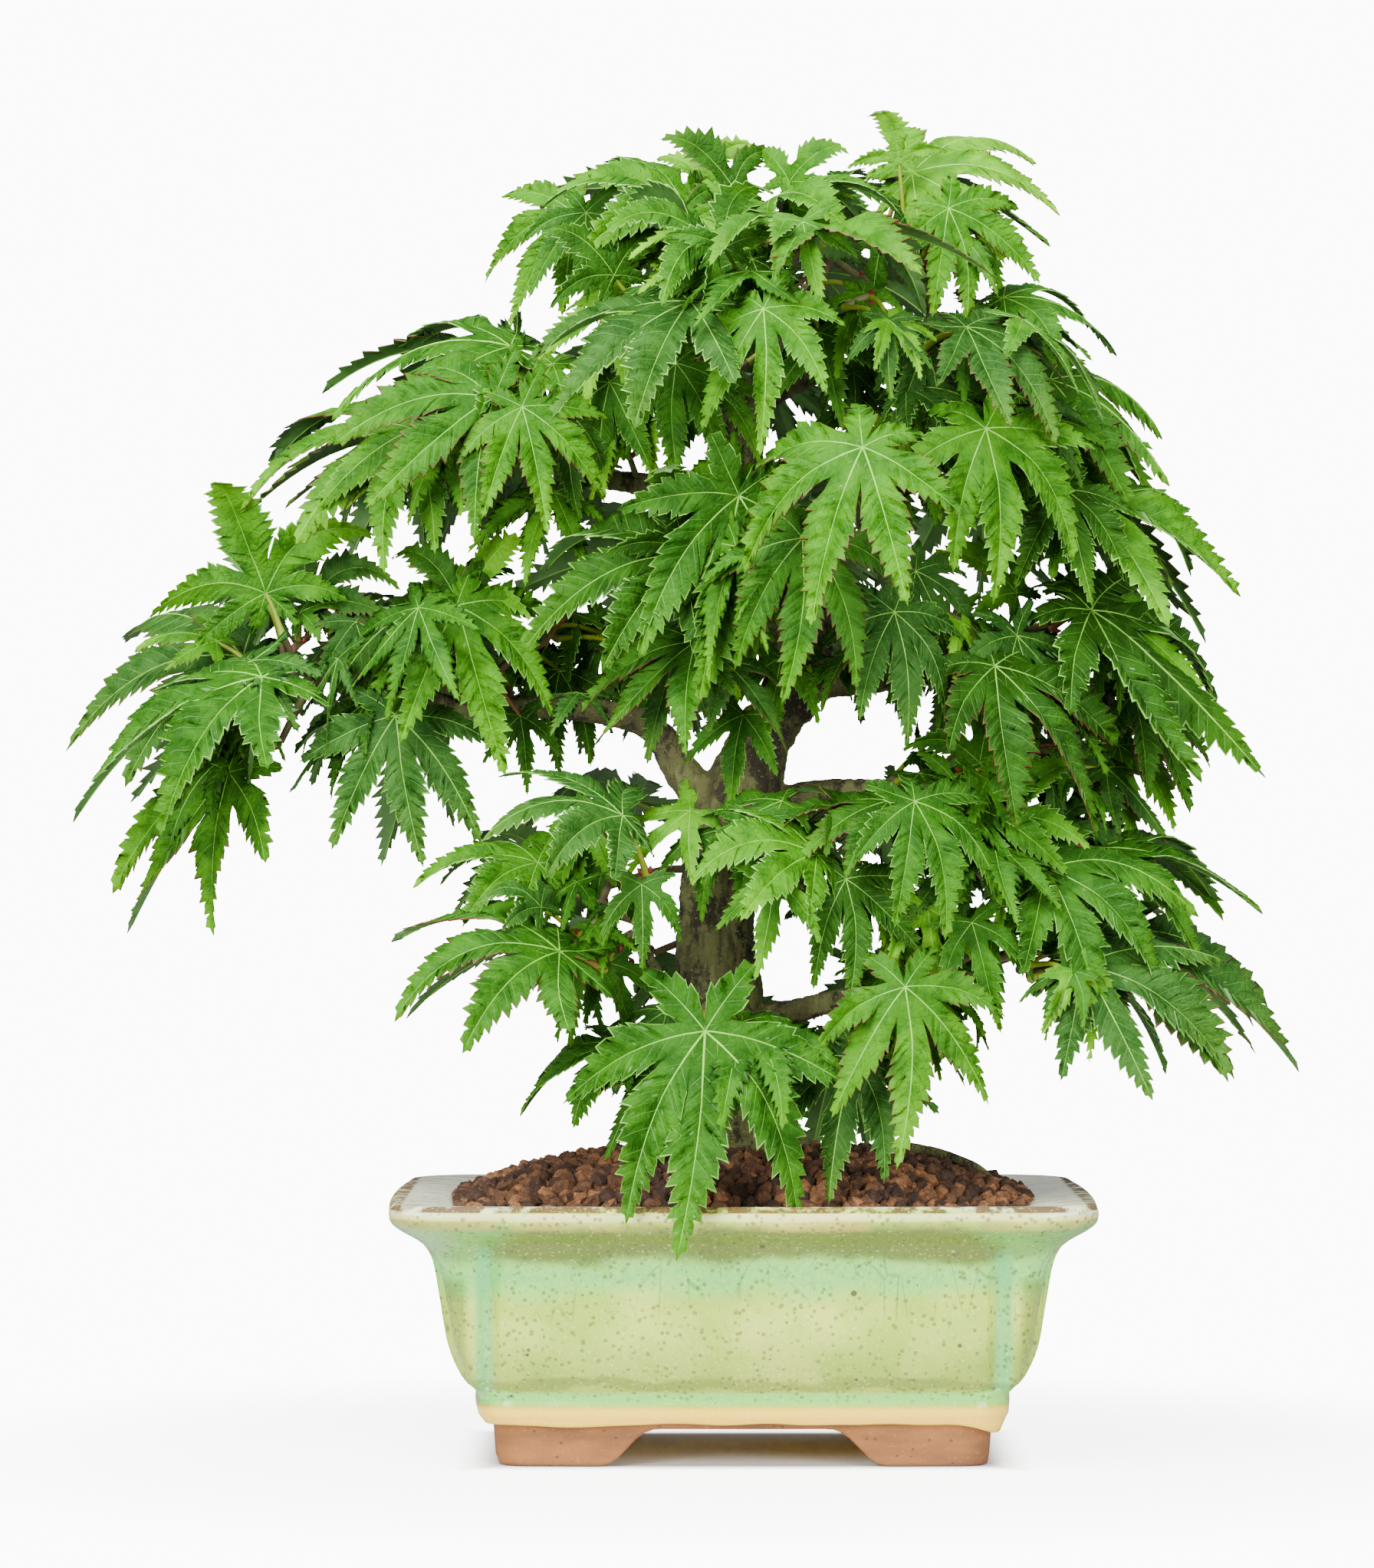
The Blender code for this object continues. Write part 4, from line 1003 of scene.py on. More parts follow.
@dataclass(frozen=True)
class Tubes:
    """Round stems that follow wires, by a tree that reads a thickness at each point."""

    material: bpy.types.Material
    sides: int

    def along(self, name: str, lines: Sequence[Sequence[Array]], radii: Sequence[Sequence[float]]
              ) -> bpy.types.Object:
        """Makes the stems.

        Args:
            name: The object's name.
            lines: The middle lines, in millimetres.
            radii: The thickness at each of their points.

        Returns:
            The joined stems.
        """
        tree = Growth("stems", {"Sides": ("NodeSocketInt", self.sides),
                                "Skin": ("NodeSocketMaterial", self.material)})
        thick = tree.out("GeometryNodeInputNamedAttribute", {"data_type": "FLOAT"}, {"Name": "thickness"})
        path = tree.out("GeometryNodeMeshToCurve", None, {"Mesh": tree.given("Geometry")})
        round_ = tree.out("GeometryNodeCurvePrimitiveCircle", None, {"Resolution": tree.given("Sides"),
                                                                     "Radius": 1.0})
        stem = tree.out("GeometryNodeCurveToMesh", None, {"Curve": path, "Profile Curve": round_,
                                                          "Scale": thick, "Fill Caps": True})
        smooth = tree.out("GeometryNodeSetShadeSmooth", None, {"Geometry": stem})
        tree.close(smooth, tree.given("Skin"))
        return tree.bake(Shop.wires(name, lines, radii))


def tube(line: Sequence[Array], radii: Sequence[float], sides: int,
         swell: Callable[[Array, float], float] | None = None) -> tuple[Array, Array, Array]:
    """A closed round limb along a line.

    Args:
        line: Its middle line.
        radii: Its thickness at each point.
        sides: Points in each ring.
        swell: What is added to the thickness at a point and angle.

    Returns:
        Its points, its four-cornered faces and the triangles of its caps.
    """
    rings = []
    side = None
    for i, p in enumerate(line):
        along = unit(line[min(i + 1, len(line) - 1)] - line[max(i - 1, 0)])
        if side is None:
            side = np.array((0.0, 1.0, 0.0)) if abs(along[1]) < 0.9 else np.array((1.0, 0.0, 0.0))
        side = unit(side - along * np.dot(side, along))
        other = np.cross(along, side)
        turns = 2 * math.pi * np.arange(sides) / sides
        reach = np.array([radii[i] + (swell(p, a) if swell else 0.0) for a in turns])[:, None]
        rings.append(p + reach * (np.cos(turns)[:, None] * side + np.sin(turns)[:, None] * other))
    last = (len(rings) - 1) * sides
    verts = np.concatenate(rings + [np.array([line[0], line[-1]])])
    k = np.arange(sides)
    nxt = (k + 1) % sides
    low = np.stack((np.full(sides, len(verts) - 2), nxt, k), axis=1)
    high = np.stack((np.full(sides, len(verts) - 1), last + k, last + nxt), axis=1)
    return verts, skin(rings), np.concatenate((low, high))


@dataclass(frozen=True)
class BarkTones:
    """Colours of the bark and of the sawn wood."""

    deep: Color = (0.066, 0.063, 0.018)
    pale: Color = (0.150, 0.160, 0.046)
    streak: Color = (0.022, 0.018, 0.006)
    patch: Color = (0.012, 0.009, 0.004)
    fleck: Color = (0.20, 0.17, 0.06)
    dot: Color = (0.24, 0.18, 0.07)
    sawn: Color = (0.42, 0.24, 0.09)
    sawn_dark: Color = (0.22, 0.11, 0.04)


@dataclass
class Wood:
    """The trunk, its boughs and the pruned stub under one skin of bark."""

    seat_z: float = 63.5
    flare_height: float = 15.0
    flare_reach: float = 4.2
    flare_ridges: int = 5
    sides: int = 28
    steps: int = 6
    voxel: float = 0.62
    tones: BarkTones = field(default_factory=BarkTones)
    # Middle line of the trunk: x, y, z and radius.
    trunk: tuple[tuple[float, ...], ...] = (
        (-0.4, 0.0, 63.5, 11.6), (-3.7, -0.5, 80.0, 11.0), (-4.8, -0.5, 96.0, 9.6), (-5.5, 0.0, 110.0, 8.3),
        (-4.5, 1.0, 129.0, 8.0), (-0.4, 1.5, 139.0, 8.2), (5.0, 2.0, 153.0, 6.5), (10.5, 1.5, 160.0, 6.0),
        (13.4, 0.5, 171.0, 5.9), (11.8, 0.0, 184.0, 5.7), (3.7, 0.5, 198.0, 5.4), (-0.4, 1.5, 210.0, 5.0),
        (2.8, 2.5, 222.0, 4.2), (12.0, 2.0, 238.0, 3.2), (15.0, 1.0, 248.0, 2.4))
    # Each limb: the limb it leaves, its line from inside that limb to its tip, and its radii.
    limbs: dict[str, tuple[str, tuple, tuple]] = field(default_factory=lambda: {
        "bough_left": ("trunk", ((-3, 1, 134), (-12, 2, 143), (-20, 3, 154), (-38, 3, 158), (-58, 1, 157.5),
                                 (-73, 0, 161.5), (-86, -1, 164)), (4.0, 3.4, 3.0, 2.6, 2.3, 2.0, 1.7)),
        "bough_left_fork": ("bough_left", ((-50, 2, 157.6), (-53, -5, 161), (-57, -9, 166), (-60, -10, 171)),
                            (1.8, 1.5, 1.3, 1.2)),
        "bough_right_low": ("trunk", ((-2, 1, 134), (9, 0, 138.5), (20, -3, 140.5), (30, -7, 141),
                                      (44, -10, 143.5)), (3.2, 2.6, 2.2, 1.9, 1.5)),
        "bough_lower_left": ("trunk", ((-5, 0, 93), (-14, -9, 96), (-19, -14, 102), (-21, -18, 108)),
                             (3.0, 2.3, 1.9, 1.6)),
        "bough_lower_right": ("trunk", ((-4, 0, 88), (10, -6, 93), (25, -12, 97), (38, -16, 98),
                                        (50, -18, 104)), (3.2, 2.5, 2.1, 1.8, 1.4)),
        "bough_upper_left": ("trunk", ((2, 1, 201), (-9, 0, 204), (-22, -2, 205.5), (-34, -4, 207),
                                       (-39, -4, 211)), (3.2, 2.6, 2.3, 1.9, 1.5)),
        "bough_upper_right": ("trunk", ((4, 2, 224), (13, 1, 228), (25, 0, 231), (34, -1, 233)),
                              (2.7, 2.2, 1.9, 1.5)),
        "bough_right_upper": ("trunk", ((-1, 2, 205), (9, 1, 208), (21, -1, 211), (32, -3, 213),
                                        (42, -5, 216)), (2.9, 2.4, 2.0, 1.7, 1.4)),
        "bough_right_middle": ("trunk", ((11, 1, 162), (21, 2, 163), (30, 1, 163.5), (42, -2, 166),
                                         (56, -5, 170)), (3.0, 2.5, 2.2, 1.8, 1.4)),
        "bough_front": ("trunk", ((13, 0, 172), (13, -9, 174), (12, -20, 178), (10, -30, 184)),
                        (2.6, 2.2, 1.8, 1.5)),
        "bough_back_low": ("trunk", ((-5, 1, 118), (-3, 12, 121), (2, 26, 126), (6, 38, 128)),
                           (2.8, 2.3, 1.9, 1.5)),
        "bough_back_middle": ("trunk", ((12, 1, 166), (10, 12, 170), (6, 26, 176), (4, 38, 181)),
                              (2.8, 2.3, 1.9, 1.5)),
        "bough_back_top": ("trunk", ((0, 2, 213), (-2, 11, 218), (-4, 22, 226), (-4, 30, 232)),
                           (2.4, 1.9, 1.6, 1.3)),
        "pruned_stub": ("trunk", ((10, 1, 178), (16, -2, 181), (22, -5, 183.5)), (2.6, 2.4, 2.2)),
    })

    def line(self, name: str, steps: int) -> tuple[list[Array], list[float]]:
        """A limb's smooth middle line and its radii.

        Args:
            name: The limb, or "trunk".
            steps: Steps between two of its points.

        Returns:
            The line and the radii.
        """
        rows = self.trunk
        if name != "trunk":
            points, radii = self.limbs[name][1:]
            rows = [(*p, r) for p, r in zip(points, radii)]
        smooth = catmull(rows, steps)
        return [p[:3] for p in smooth], [float(p[3]) for p in smooth]

    def flare(self, place: Array, angle: float) -> float:
        """How far the trunk swells into its roots near the soil.

        Args:
            place: A point of the trunk's middle line.
            angle: The way round it, in radians.

        Returns:
            What is added to its radius.
        """
        rise = (place[2] - self.seat_z) / self.flare_height
        if rise > 1:
            return 0.0
        ridge = 0.55 + 0.45 * math.cos(self.flare_ridges * angle + 0.6)
        return self.flare_reach * (1 - max(rise, 0.0)) ** 2 * ridge

    def bare(self) -> bpy.types.Object:
        """All limbs as smooth closed tubes in one mesh.

        Returns:
            The mesh object.
        """
        verts = []
        quads = []
        caps = []
        count = 0
        for name in ("trunk", *self.limbs):
            line, radii = self.line(name, self.steps)
            if name == "trunk":
                line = [line[0] - (0, 0, 2.6), line[0] - (0, 0, 1.3)] + line
                radii = [radii[0], radii[0]] + radii
            else:
                wide = [1 + 0.5 * math.exp(-k / (0.9 * self.steps)) for k in range(len(line))]
                radii = [r * w for r, w in zip(radii, wide)]
            made = tube(line, radii, self.sides, self.flare if name == "trunk" else None)
            verts.append(made[0])
            quads.append(made[1] + count)
            caps.append(made[2] + count)
            count += len(made[0])
        return Shop.piece("bark_skin", np.concatenate(verts), (np.concatenate(quads), np.concatenate(caps)), ())

    def nearest(self) -> Callable[[Array], tuple[float, float]]:
        """A function that gives a place's distance from the nearest limb's middle line, and its radius.

        Returns:
            The function.
        """
        places = []
        for name in ("trunk", *self.limbs):
            places += list(zip(*self.line(name, self.steps)))
        tree = kdtree.KDTree(len(places))
        for k, (place, _) in enumerate(places):
            tree.insert(Vector(place), k)
        tree.balance()

        def look_up(place: Array) -> tuple[float, float]:
            """The distance and the radius."""
            _, k, gap = tree.find(Vector(place))
            return gap, places[k][1]

        return look_up

    def weather(self, obj: bpy.types.Object) -> None:
        """Raises the bark's relief: long cracks, plates, lumps and fine grain, weaker on thin wood.

        Args:
            obj: The skin of bark.
        """
        verts = Shop.points(obj)
        normals = Shop.normals(obj)
        nearest = self.nearest()
        moved = []
        for p, n in zip(verts, normals):
            x, y, z = p
            strength = min(1.0, nearest(p)[1] / 6.0)
            crack = abs(noise.noise(Vector((x * 0.3, y * 0.3, z * 0.085))))
            plate = noise.noise(Vector((x * 0.2, y * 0.2, z * 0.33 + 7)))
            lump = noise.noise(Vector((x * 0.5, y * 0.5, z * 0.4)))
            grain = noise.noise(Vector((x * 1.5, y * 1.5, z * 0.9)))
            rise = -0.8 * math.exp(-crack * 9) + 0.45 * plate + 0.5 * lump
            moved.append(p + n * (rise * strength + 0.22 * grain * (0.5 + strength)))
        Shop.move(obj, np.array(moved))

    def bark(self) -> bpy.types.Material:
        """Bark: olive grey, with dark rough patches and tan flecks.

        Returns:
            The material.
        """
        tones = self.tones
        look = Finish("maple_bark", 0.8)
        spot = look.pot_place()
        cloud = look.noise(look.pot_place(1.0, 1.0, 0.45), 9.0, 4.0, 0.6)
        streak = look.noise(look.pot_place(1.0, 1.0, 0.16), 2.2, 4.0, 0.65)
        fine = look.noise(spot, 0.9, 4.0, 0.65)
        look.color = look.mix(cloud.above(0.36, 0.62), tones.deep, tones.pale)
        look.lay(streak.above(0.5, 0.7) * 0.75, tones.streak)
        rough = look.noise(look.pot_place(1.0, 1.0, 0.7), 6.0, 5.0, 0.7)
        look.lay(rough.above(0.5, 0.58) * 0.85, tones.patch)
        look.lay(fine.above(0.57, 0.68) * 0.6, tones.fleck)
        dots = 1 - look.cells(look.pot_place(1.0, 1.0, 1.7), 2.6).above(0.1, 0.2)
        look.lay(dots * 0.65, tones.dot)
        look.feed("Base Color", look.color)
        look.feed("Roughness", 0.66 + fine * 0.28)
        look.bump(fine * 0.9 + rough * 1.4 + dots * 0.6, 0.6)
        return look.material

    def scar(self) -> bpy.types.Object:
        """The sawn face of the pruned stub.

        Returns:
            Its object.
        """
        look = Finish("sawn_wood", 0.75)
        spot = look.pot_place()
        cut = look.noise(spot, 0.8, 4.0, 0.6).above(0.35, 0.7)
        look.color = look.mix(cut, self.tones.sawn, self.tones.sawn_dark)
        look.feed("Base Color", look.color)
        look.bump(look.noise(spot, 0.4, 3.0), 0.15)
        line, radii = self.line("pruned_stub", 6)
        heading = unit(line[-1] - line[-2])
        disc = [line[-1] - heading * 1.0, line[-1] + heading * 0.25, line[-1] + heading * 0.42]
        verts, quads, caps = tube(disc, (radii[-1] * 0.8, radii[-1] * 0.84, radii[-1] * 0.72), 18)
        return Shop.piece("pruned_stub_cut_face", verts, (quads, caps), (look.material,), None, False)

    def build(self, bark: bpy.types.Material) -> None:
        """Makes the skin of bark, which stands for the trunk, the boughs and the stub.

        Args:
            bark: The bark.
        """
        obj = self.bare()
        remesh = obj.modifiers.new("skin", "REMESH")
        remesh.mode = "VOXEL"
        remesh.voxel_size = self.voxel * MM
        remesh.use_smooth_shade = True
        soften = obj.modifiers.new("soften", "SMOOTH")
        soften.factor = 0.5
        soften.iterations = 5
        Shop.settle(obj)
        obj.data.materials.clear()
        obj.data.materials.append(bark)
        self.weather(obj)
        Shop.hand_over(obj, "bark", ("trunk", *self.limbs))
        Shop.hand_over(self.scar(), "bark", ("pruned_stub",))


class Tint(Enum):
    """Leaf colours, dealt out leaf by leaf: upper face, and its paler or darker cloud."""

    DEEP = ((0.009, 0.042, 0.0015), (0.020, 0.085, 0.004))
    MID = ((0.011, 0.062, 0.002), (0.034, 0.140, 0.006))
    BRIGHT = ((0.018, 0.092, 0.002), (0.056, 0.205, 0.005))
    YOUNG = ((0.044, 0.172, 0.003), (0.115, 0.340, 0.008))
    TEAL = ((0.011, 0.052, 0.005), (0.032, 0.104, 0.014))

    def finish(self) -> bpy.types.Material:
        """A leaf's upper face: cloudy green with patches of painted teal sheen and a fine net of veinlets in
        its relief.

        Returns:
            The material.
        """
        deep, light = self.value
        look = Finish("leaf_" + self.name.lower(), 0.42)
        look.shader.inputs["Specular IOR Level"].default_value = 0.06
        spot = look.place()
        cloud = look.noise(spot, 6.0, 4.0, 0.6)
        fine = look.noise(spot, 1.3, 3.0, 0.6)
        look.color = look.mix(cloud.above(0.36, 0.64), deep, light)
        look.lay(fine.above(0.5, 0.72) * 0.3, light)
        tip = tuple(c * f for c, f in zip(light, (2.4, 1.9, 1.1)))
        look.lay(look.attribute("reach").above(0.5, 1.05) * 0.7, tip)
        hub = 1 - look.attribute("reach").above(0.05, 0.4)
        look.lay(hub * 0.5, deep)
        # Painted sheen: cloudy teal-grey patches that stand in for the room's reflection.
        painted_sheen = look.noise(spot, 15.0, 3.0, 0.55).above(0.5, 0.64)
        look.lay(painted_sheen * 0.3, (0.030, 0.106, 0.014))
        look.feed("Base Color", look.color)
        look.feed("Roughness", 0.42 + fine * 0.2)
        net = look.cells(spot, 1.7, "DISTANCE_TO_EDGE").above(0.0, 0.22)
        look.bump(net * 0.8 + fine * 0.6, 0.13)
        return look.material


class Living(Enum):
    """Plain living surfaces: two close colours, roughness, size of their clouds and depth of their relief."""

    LEAF_UNDERSIDE = ((0.05, 0.15, 0.022), (0.08, 0.20, 0.04), 0.6, 6.0, 0.05)
    # Painted highlight: a pale line along the margins of lit leaves.
    LEAF_MARGIN_PALE = ((0.13, 0.38, 0.03), (0.22, 0.50, 0.06), 0.5, 4.0, 0.05)
    LEAF_MARGIN_RUST = ((0.10, 0.028, 0.006), (0.12, 0.075, 0.010), 0.5, 3.0, 0.05)
    LEAF_MIDRIBS = ((0.15, 0.40, 0.025), (0.22, 0.52, 0.045), 0.5, 5.0, 0.05)
    LEAF_SIDE_VEINS = ((0.045, 0.165, 0.010), (0.075, 0.23, 0.018), 0.5, 5.0, 0.05)
    YOUNG_TWIG = ((0.10, 0.055, 0.025), (0.11, 0.13, 0.03), 0.6, 4.0, 0.12)
    PETIOLE_GREEN = ((0.14, 0.21, 0.005), (0.21, 0.27, 0.008), 0.45, 7.0, 0.05)
    PETIOLE_RUDDY = ((0.20, 0.06, 0.010), (0.20, 0.13, 0.012), 0.45, 6.0, 0.05)
    BUD_RED = ((0.20, 0.015, 0.012), (0.10, 0.012, 0.01), 0.45, 1.5, 0.05)

    def finish(self) -> bpy.types.Material:
        """The surface in its two colours.

        Returns:
            The material.
        """
        first, second, roughness, size, depth = self.value
        look = Finish(self.name.lower(), roughness)
        spot = look.place()
        cloud = look.noise(spot, size, 3.0)
        look.feed("Base Color", look.mix(cloud.above(0.36, 0.64), first, second))
        look.bump(look.noise(spot, size / 4, 2.0), depth)
        return look.material


@dataclass(frozen=True)
class Lobe:
    """One lobe of a leaf: its angle from the middle lobe, its length as a share of it, and its teeth."""

    angle: float
    length: float
    teeth: int


@dataclass
class Leaf:
    """A leaf as it is held: the hub of its lobes, its axes, and the line of its twig and petiole."""

    hub: Array
    span: float
    twin: bool
    axes: tuple[Array, Array, Array]
    fine: bool = False
    line: list[Array] = field(default_factory=list)


@dataclass
class Grid:
    """The points of a blade, lobe by lobe, as arrays of equal length.

    The places along and across a lobe are shares of the middle lobe, the column runs from 0 at the midrib
    to 1 at the margin, the puff says how far the blade quilts there, and the side is 1 or -1.
    """

    along: Array
    across: Array
    column: Array
    puff: Array
    lobe: Array
    side: Array

    @property
    def radius(self) -> Array:
        """The points' distances from the hub."""
        return np.hypot(self.along, self.across)


class Strip(NamedTuple):
    """Half a lobe in the grid: its first point, its count of rows, and which rows have a side vein."""

    first: int
    rows: int
    lobe: int
    side: int
    veins: list[bool]


@dataclass
class LeafForm:
    """The shape of a leaf: toothed lobes that arch, quilt between their veins and hang from the hub."""

    thickness: float = 0.22
    droop: float = 1.15
    droop_steps: int = 6
    fine_steps: int = 12
    normal_step: float = 0.012
    sinus: float = 0.215
    base_sinus: float = 0.11
    edged: bool = True
    serrate: bool = True
    notch: float = 0.04
    vein_slope: float = 0.9
    tooth_depth: float = 0.036
    toothed_from: float = 0.34
    hook: float = 0.16
    arch: float = 0.74
    curl: float = 0.15
    hang: float = 9.0
    quilt: float = 0.45
    columns: tuple[float, ...] = (0.0, 0.45, 0.94, 1.0)
    midrib: tuple[float, float] = (0.34, 0.09)
    vein: tuple[float, float] = (0.11, 0.045)
    # Half width along a lobe, both as shares of the middle lobe's length.
    profile: tuple[tuple[float, float], ...] = (
        (0.16, 0.07), (0.26, 0.102), (0.36, 0.136), (0.47, 0.158), (0.57, 0.144), (0.67, 0.112), (0.78, 0.08),
        (0.89, 0.046), (0.96, 0.02), (1.0, 0.0))
    large: tuple[Lobe, ...] = (Lobe(-144, 0.34, 3), Lobe(-87, 0.63, 6), Lobe(-44, 0.9, 8), Lobe(0, 1.0, 9),
                               Lobe(44, 0.9, 8), Lobe(87, 0.63, 6), Lobe(144, 0.34, 3))
    small: tuple[Lobe, ...] = (Lobe(-118, 0.42, 3), Lobe(-58, 0.78, 6), Lobe(0, 1.0, 7), Lobe(58, 0.78, 6),
                               Lobe(118, 0.42, 3))
    small_span: float = 24.0
    # Angle and length of the lobes that a packed blade has, large and small.
    packed_large: tuple[tuple[float, float], ...] = ((-84, 0.6), (-41, 0.92), (0, 1.0), (41, 0.92), (84, 0.6))
    packed_small: tuple[tuple[float, float], ...] = ((-62, 0.75), (0, 1.0), (62, 0.75))
    packed_waist: float = 0.28

    def drape(self, leaf: Leaf, flat: Array, steps: int) -> Array:
        """Places flat points of the blade in space: each lobe leaves the hub in the plane and sinks.

        Args:
            leaf: The leaf.
            flat: Points in its plane, in shares of its span.
            steps: Steps of the sinking line.

        Returns:
            The points in millimetres.
        """
        axis, across = leaf.axes[:2]
        radius = np.linalg.norm(flat, axis=1)
        aim = units(flat)
        start = aim[:, :1] * axis + aim[:, 1:] * across
        place = np.zeros((len(flat), 3))
        for k in range(steps):
            share = radius * (k + 0.5) / steps
            heading = units(start - np.outer(self.droop * share, UP))
            place += heading * (radius / steps)[:, None]
        return leaf.hub + place * leaf.span

    def lobes(self, span: float) -> tuple[Lobe, ...]:
        """The lobes of a leaf of this length."""
        return self.small if span < self.small_span else self.large

    def width(self, along: Array, length: float) -> Array:
        """Half width of a lobe at places along it."""
        table = np.array(catmull(self.profile, 4))
        return np.interp(along / length, table[:, 0], table[:, 1]) * (0.23 + 0.68 * length)

    def margin(self, lobe: Lobe, half_angle: float, sinus: float, rng: random.Random) -> list[tuple]:
        """The rows of one side of a lobe, from the hub to its tip.

        Args:
            lobe: The lobe.
            half_angle: Angle from its midrib to the line that it shares with its neighbour, in radians.
            sinus: Length of that line.
            rng: Source of the small differences.

        Returns:
            For each row, the margin's place along and across the lobe, its puff, and whether it has a vein.
        """
        rows = [(t * sinus * math.cos(half_angle), t * sinus * math.sin(half_angle), puff, vein)
                for t, puff, vein in ((0.0, 0.0, False), (0.34, 0.6, False), (0.62, 0.0, True),
                                      (0.82, 0.8, False), (1.0, 0.5, False))]
        first = max(self.toothed_from * lobe.length, rows[-1][0] + 0.05)
        plain = rows[-1][0] * 0.45 + first * 0.55
        rows.append((plain, float(self.width(plain, lobe.length)), 0.0, lobe.length > 0.5))
        last = 0.955 * lobe.length
        stops = [first + (last - first) * (k / lobe.teeth) ** 0.94 for k in range(lobe.teeth + 1)]
        stops = [stops[0]] + [s + rng.uniform(-0.1, 0.1) * (last - first) / lobe.teeth
                              for s in stops[1:-1]] + [stops[-1]]
        coarse = rng.randrange(2)
        for k in range(lobe.teeth):
            pitch = stops[k + 1] - stops[k]
            grow = min(1.0, 0.6 + 0.3 * k) * min(1.0, 0.3 + 2.6 * (1 - stops[k] / lobe.length))
            depth = self.tooth_depth * (0.35 + 0.65 * lobe.length) * grow * rng.uniform(0.75, 1.25)
            depth *= 1.45 if k % 2 == coarse else 0.8
            notch = rng.uniform(-0.75, -0.25) if k else 0.0
            steps = ((-self.hook if k else 0.0, notch, 0.8, False), (0.36, 0.42, 1.0, False),
                     (0.3, 0.16, 0.8, False), (1.0, 0.86, 0.0, True))
            for share, rise, puff, vein in steps if self.serrate else (steps[0], steps[3]):
                along = stops[k] + share * pitch
                base = float(self.width(min(max(along, stops[k]), last), lobe.length))
                rows.append((along, max(base + rise * depth, 0.25 * base), puff, vein))
        rows.append((last + 0.004, float(self.width(last, lobe.length)) * 0.8, 0.5, False))
        rows.append((lobe.length, 0.0, 0.0, False))
        return rows

    def build(self, leaf: Leaf, rng: random.Random) -> dict[str, Array]:
        """One leaf's blade, midribs and side veins.

        Args:
            leaf: The leaf.
            rng: Source of the small differences.

        Returns:
            "blade", "faces", "kinds" (0 upper, 1 under, 2 margin, painted as an edge highlight) and "reach" of
            the blade, and "veins", "vein_faces" and "vein_kinds" (0 midrib, 1 side vein) of its ribs.
        """
        lobes = [Lobe(lobe.angle + rng.uniform(-5, 5), lobe.length * rng.uniform(0.93, 1.06), lobe.teeth)
                 for lobe in self.lobes(leaf.span)]
        axis, across = leaf.axes[:2]
        bends = [rng.uniform(-20, 20) - self.hang * float(across[2] * math.cos(math.radians(lobe.angle))
                                                          - axis[2] * math.sin(math.radians(lobe.angle)))
                 for lobe in lobes]
        arches = [rng.uniform(0.5, 1.4) * self.arch * (-0.5 if rng.random() < 0.2 else 1) for _ in lobes]
        twists = [rng.uniform(-0.5, 0.5) for _ in lobes]
        waves = [(rng.uniform(0, 6.3), rng.uniform(0.4, 1.0)) for _ in lobes]
        curls = [rng.uniform(-1.0, 0.7) * self.curl for _ in lobes]
        points = []
        strips = []
        for i, lobe in enumerate(lobes):
            for sign in (1, -1):
                j = i + sign
                bound = (lobe.angle + lobes[j].angle) / 2 if 0 <= j < len(lobes) else sign * 180
                sinus = self.sinus
                if not 0 <= j < len(lobes):
                    sinus = self.notch
                elif abs(bound) > 90:
                    sinus = self.base_sinus
                rows = self.margin(lobe, math.radians(abs(bound - lobe.angle)), sinus, rng)
                ribs = [u - self.vein_slope * w for u, w, _, _ in rows]
                ribs = np.minimum(np.maximum.accumulate(ribs + 1e-4 * np.arange(len(ribs))), lobe.length)
                ribs[0] = 0.0
                ribs[-1] = lobe.length
                strips.append(Strip(len(points), len(rows), i, sign, [row[3] for row in rows]))
                points += [(rib + (u - rib) * t, w * t * sign, t, puff, i, sign)
                           for (u, w, puff, _), rib in zip(rows, ribs) for t in self.columns]
        grid = Grid(*np.array(points).T)
        grid.lobe = grid.lobe.astype(int)
        flat, which = self.flatten(grid, lobes, bends)
        place, right, left = (self.drape(leaf, flat + shift, self.fine_steps)
                              for shift in ((0, 0), (self.normal_step, 0), (0, self.normal_step)))
        normal = units(np.cross(right - place, left - place))
        rise = self.relief(leaf, grid, lobes, (arches, twists, waves, curls))
        return self.shell(leaf, grid, place, normal, rise, strips, which, lobes)

    def flatten(self, grid: Grid, lobes: Sequence[Lobe], bends: Sequence[float]) -> tuple[Array, Array]:
        """Flat points from places along and across each lobe, with each lobe bent a little sideways.

        Args:
            grid: The blade's points.
            lobes: The lobes.
            bends: Each lobe's bend, in degrees.

        Returns:
            The flat points, and for each the index of the first point that shares its place.
        """
        angles = np.radians([lobe.angle for lobe in lobes])[grid.lobe]
        turn = angles + np.radians(bends)[grid.lobe] * np.maximum(grid.radius - 0.3, 0.0)
        flat = np.stack((grid.along * np.cos(turn) - grid.across * np.sin(turn),
                         grid.along * np.sin(turn) + grid.across * np.cos(turn)), axis=1)
        keys = np.round(flat, 5)
        _, first, inverse = np.unique(keys, axis=0, return_index=True, return_inverse=True)
        return flat, first[inverse.ravel()]

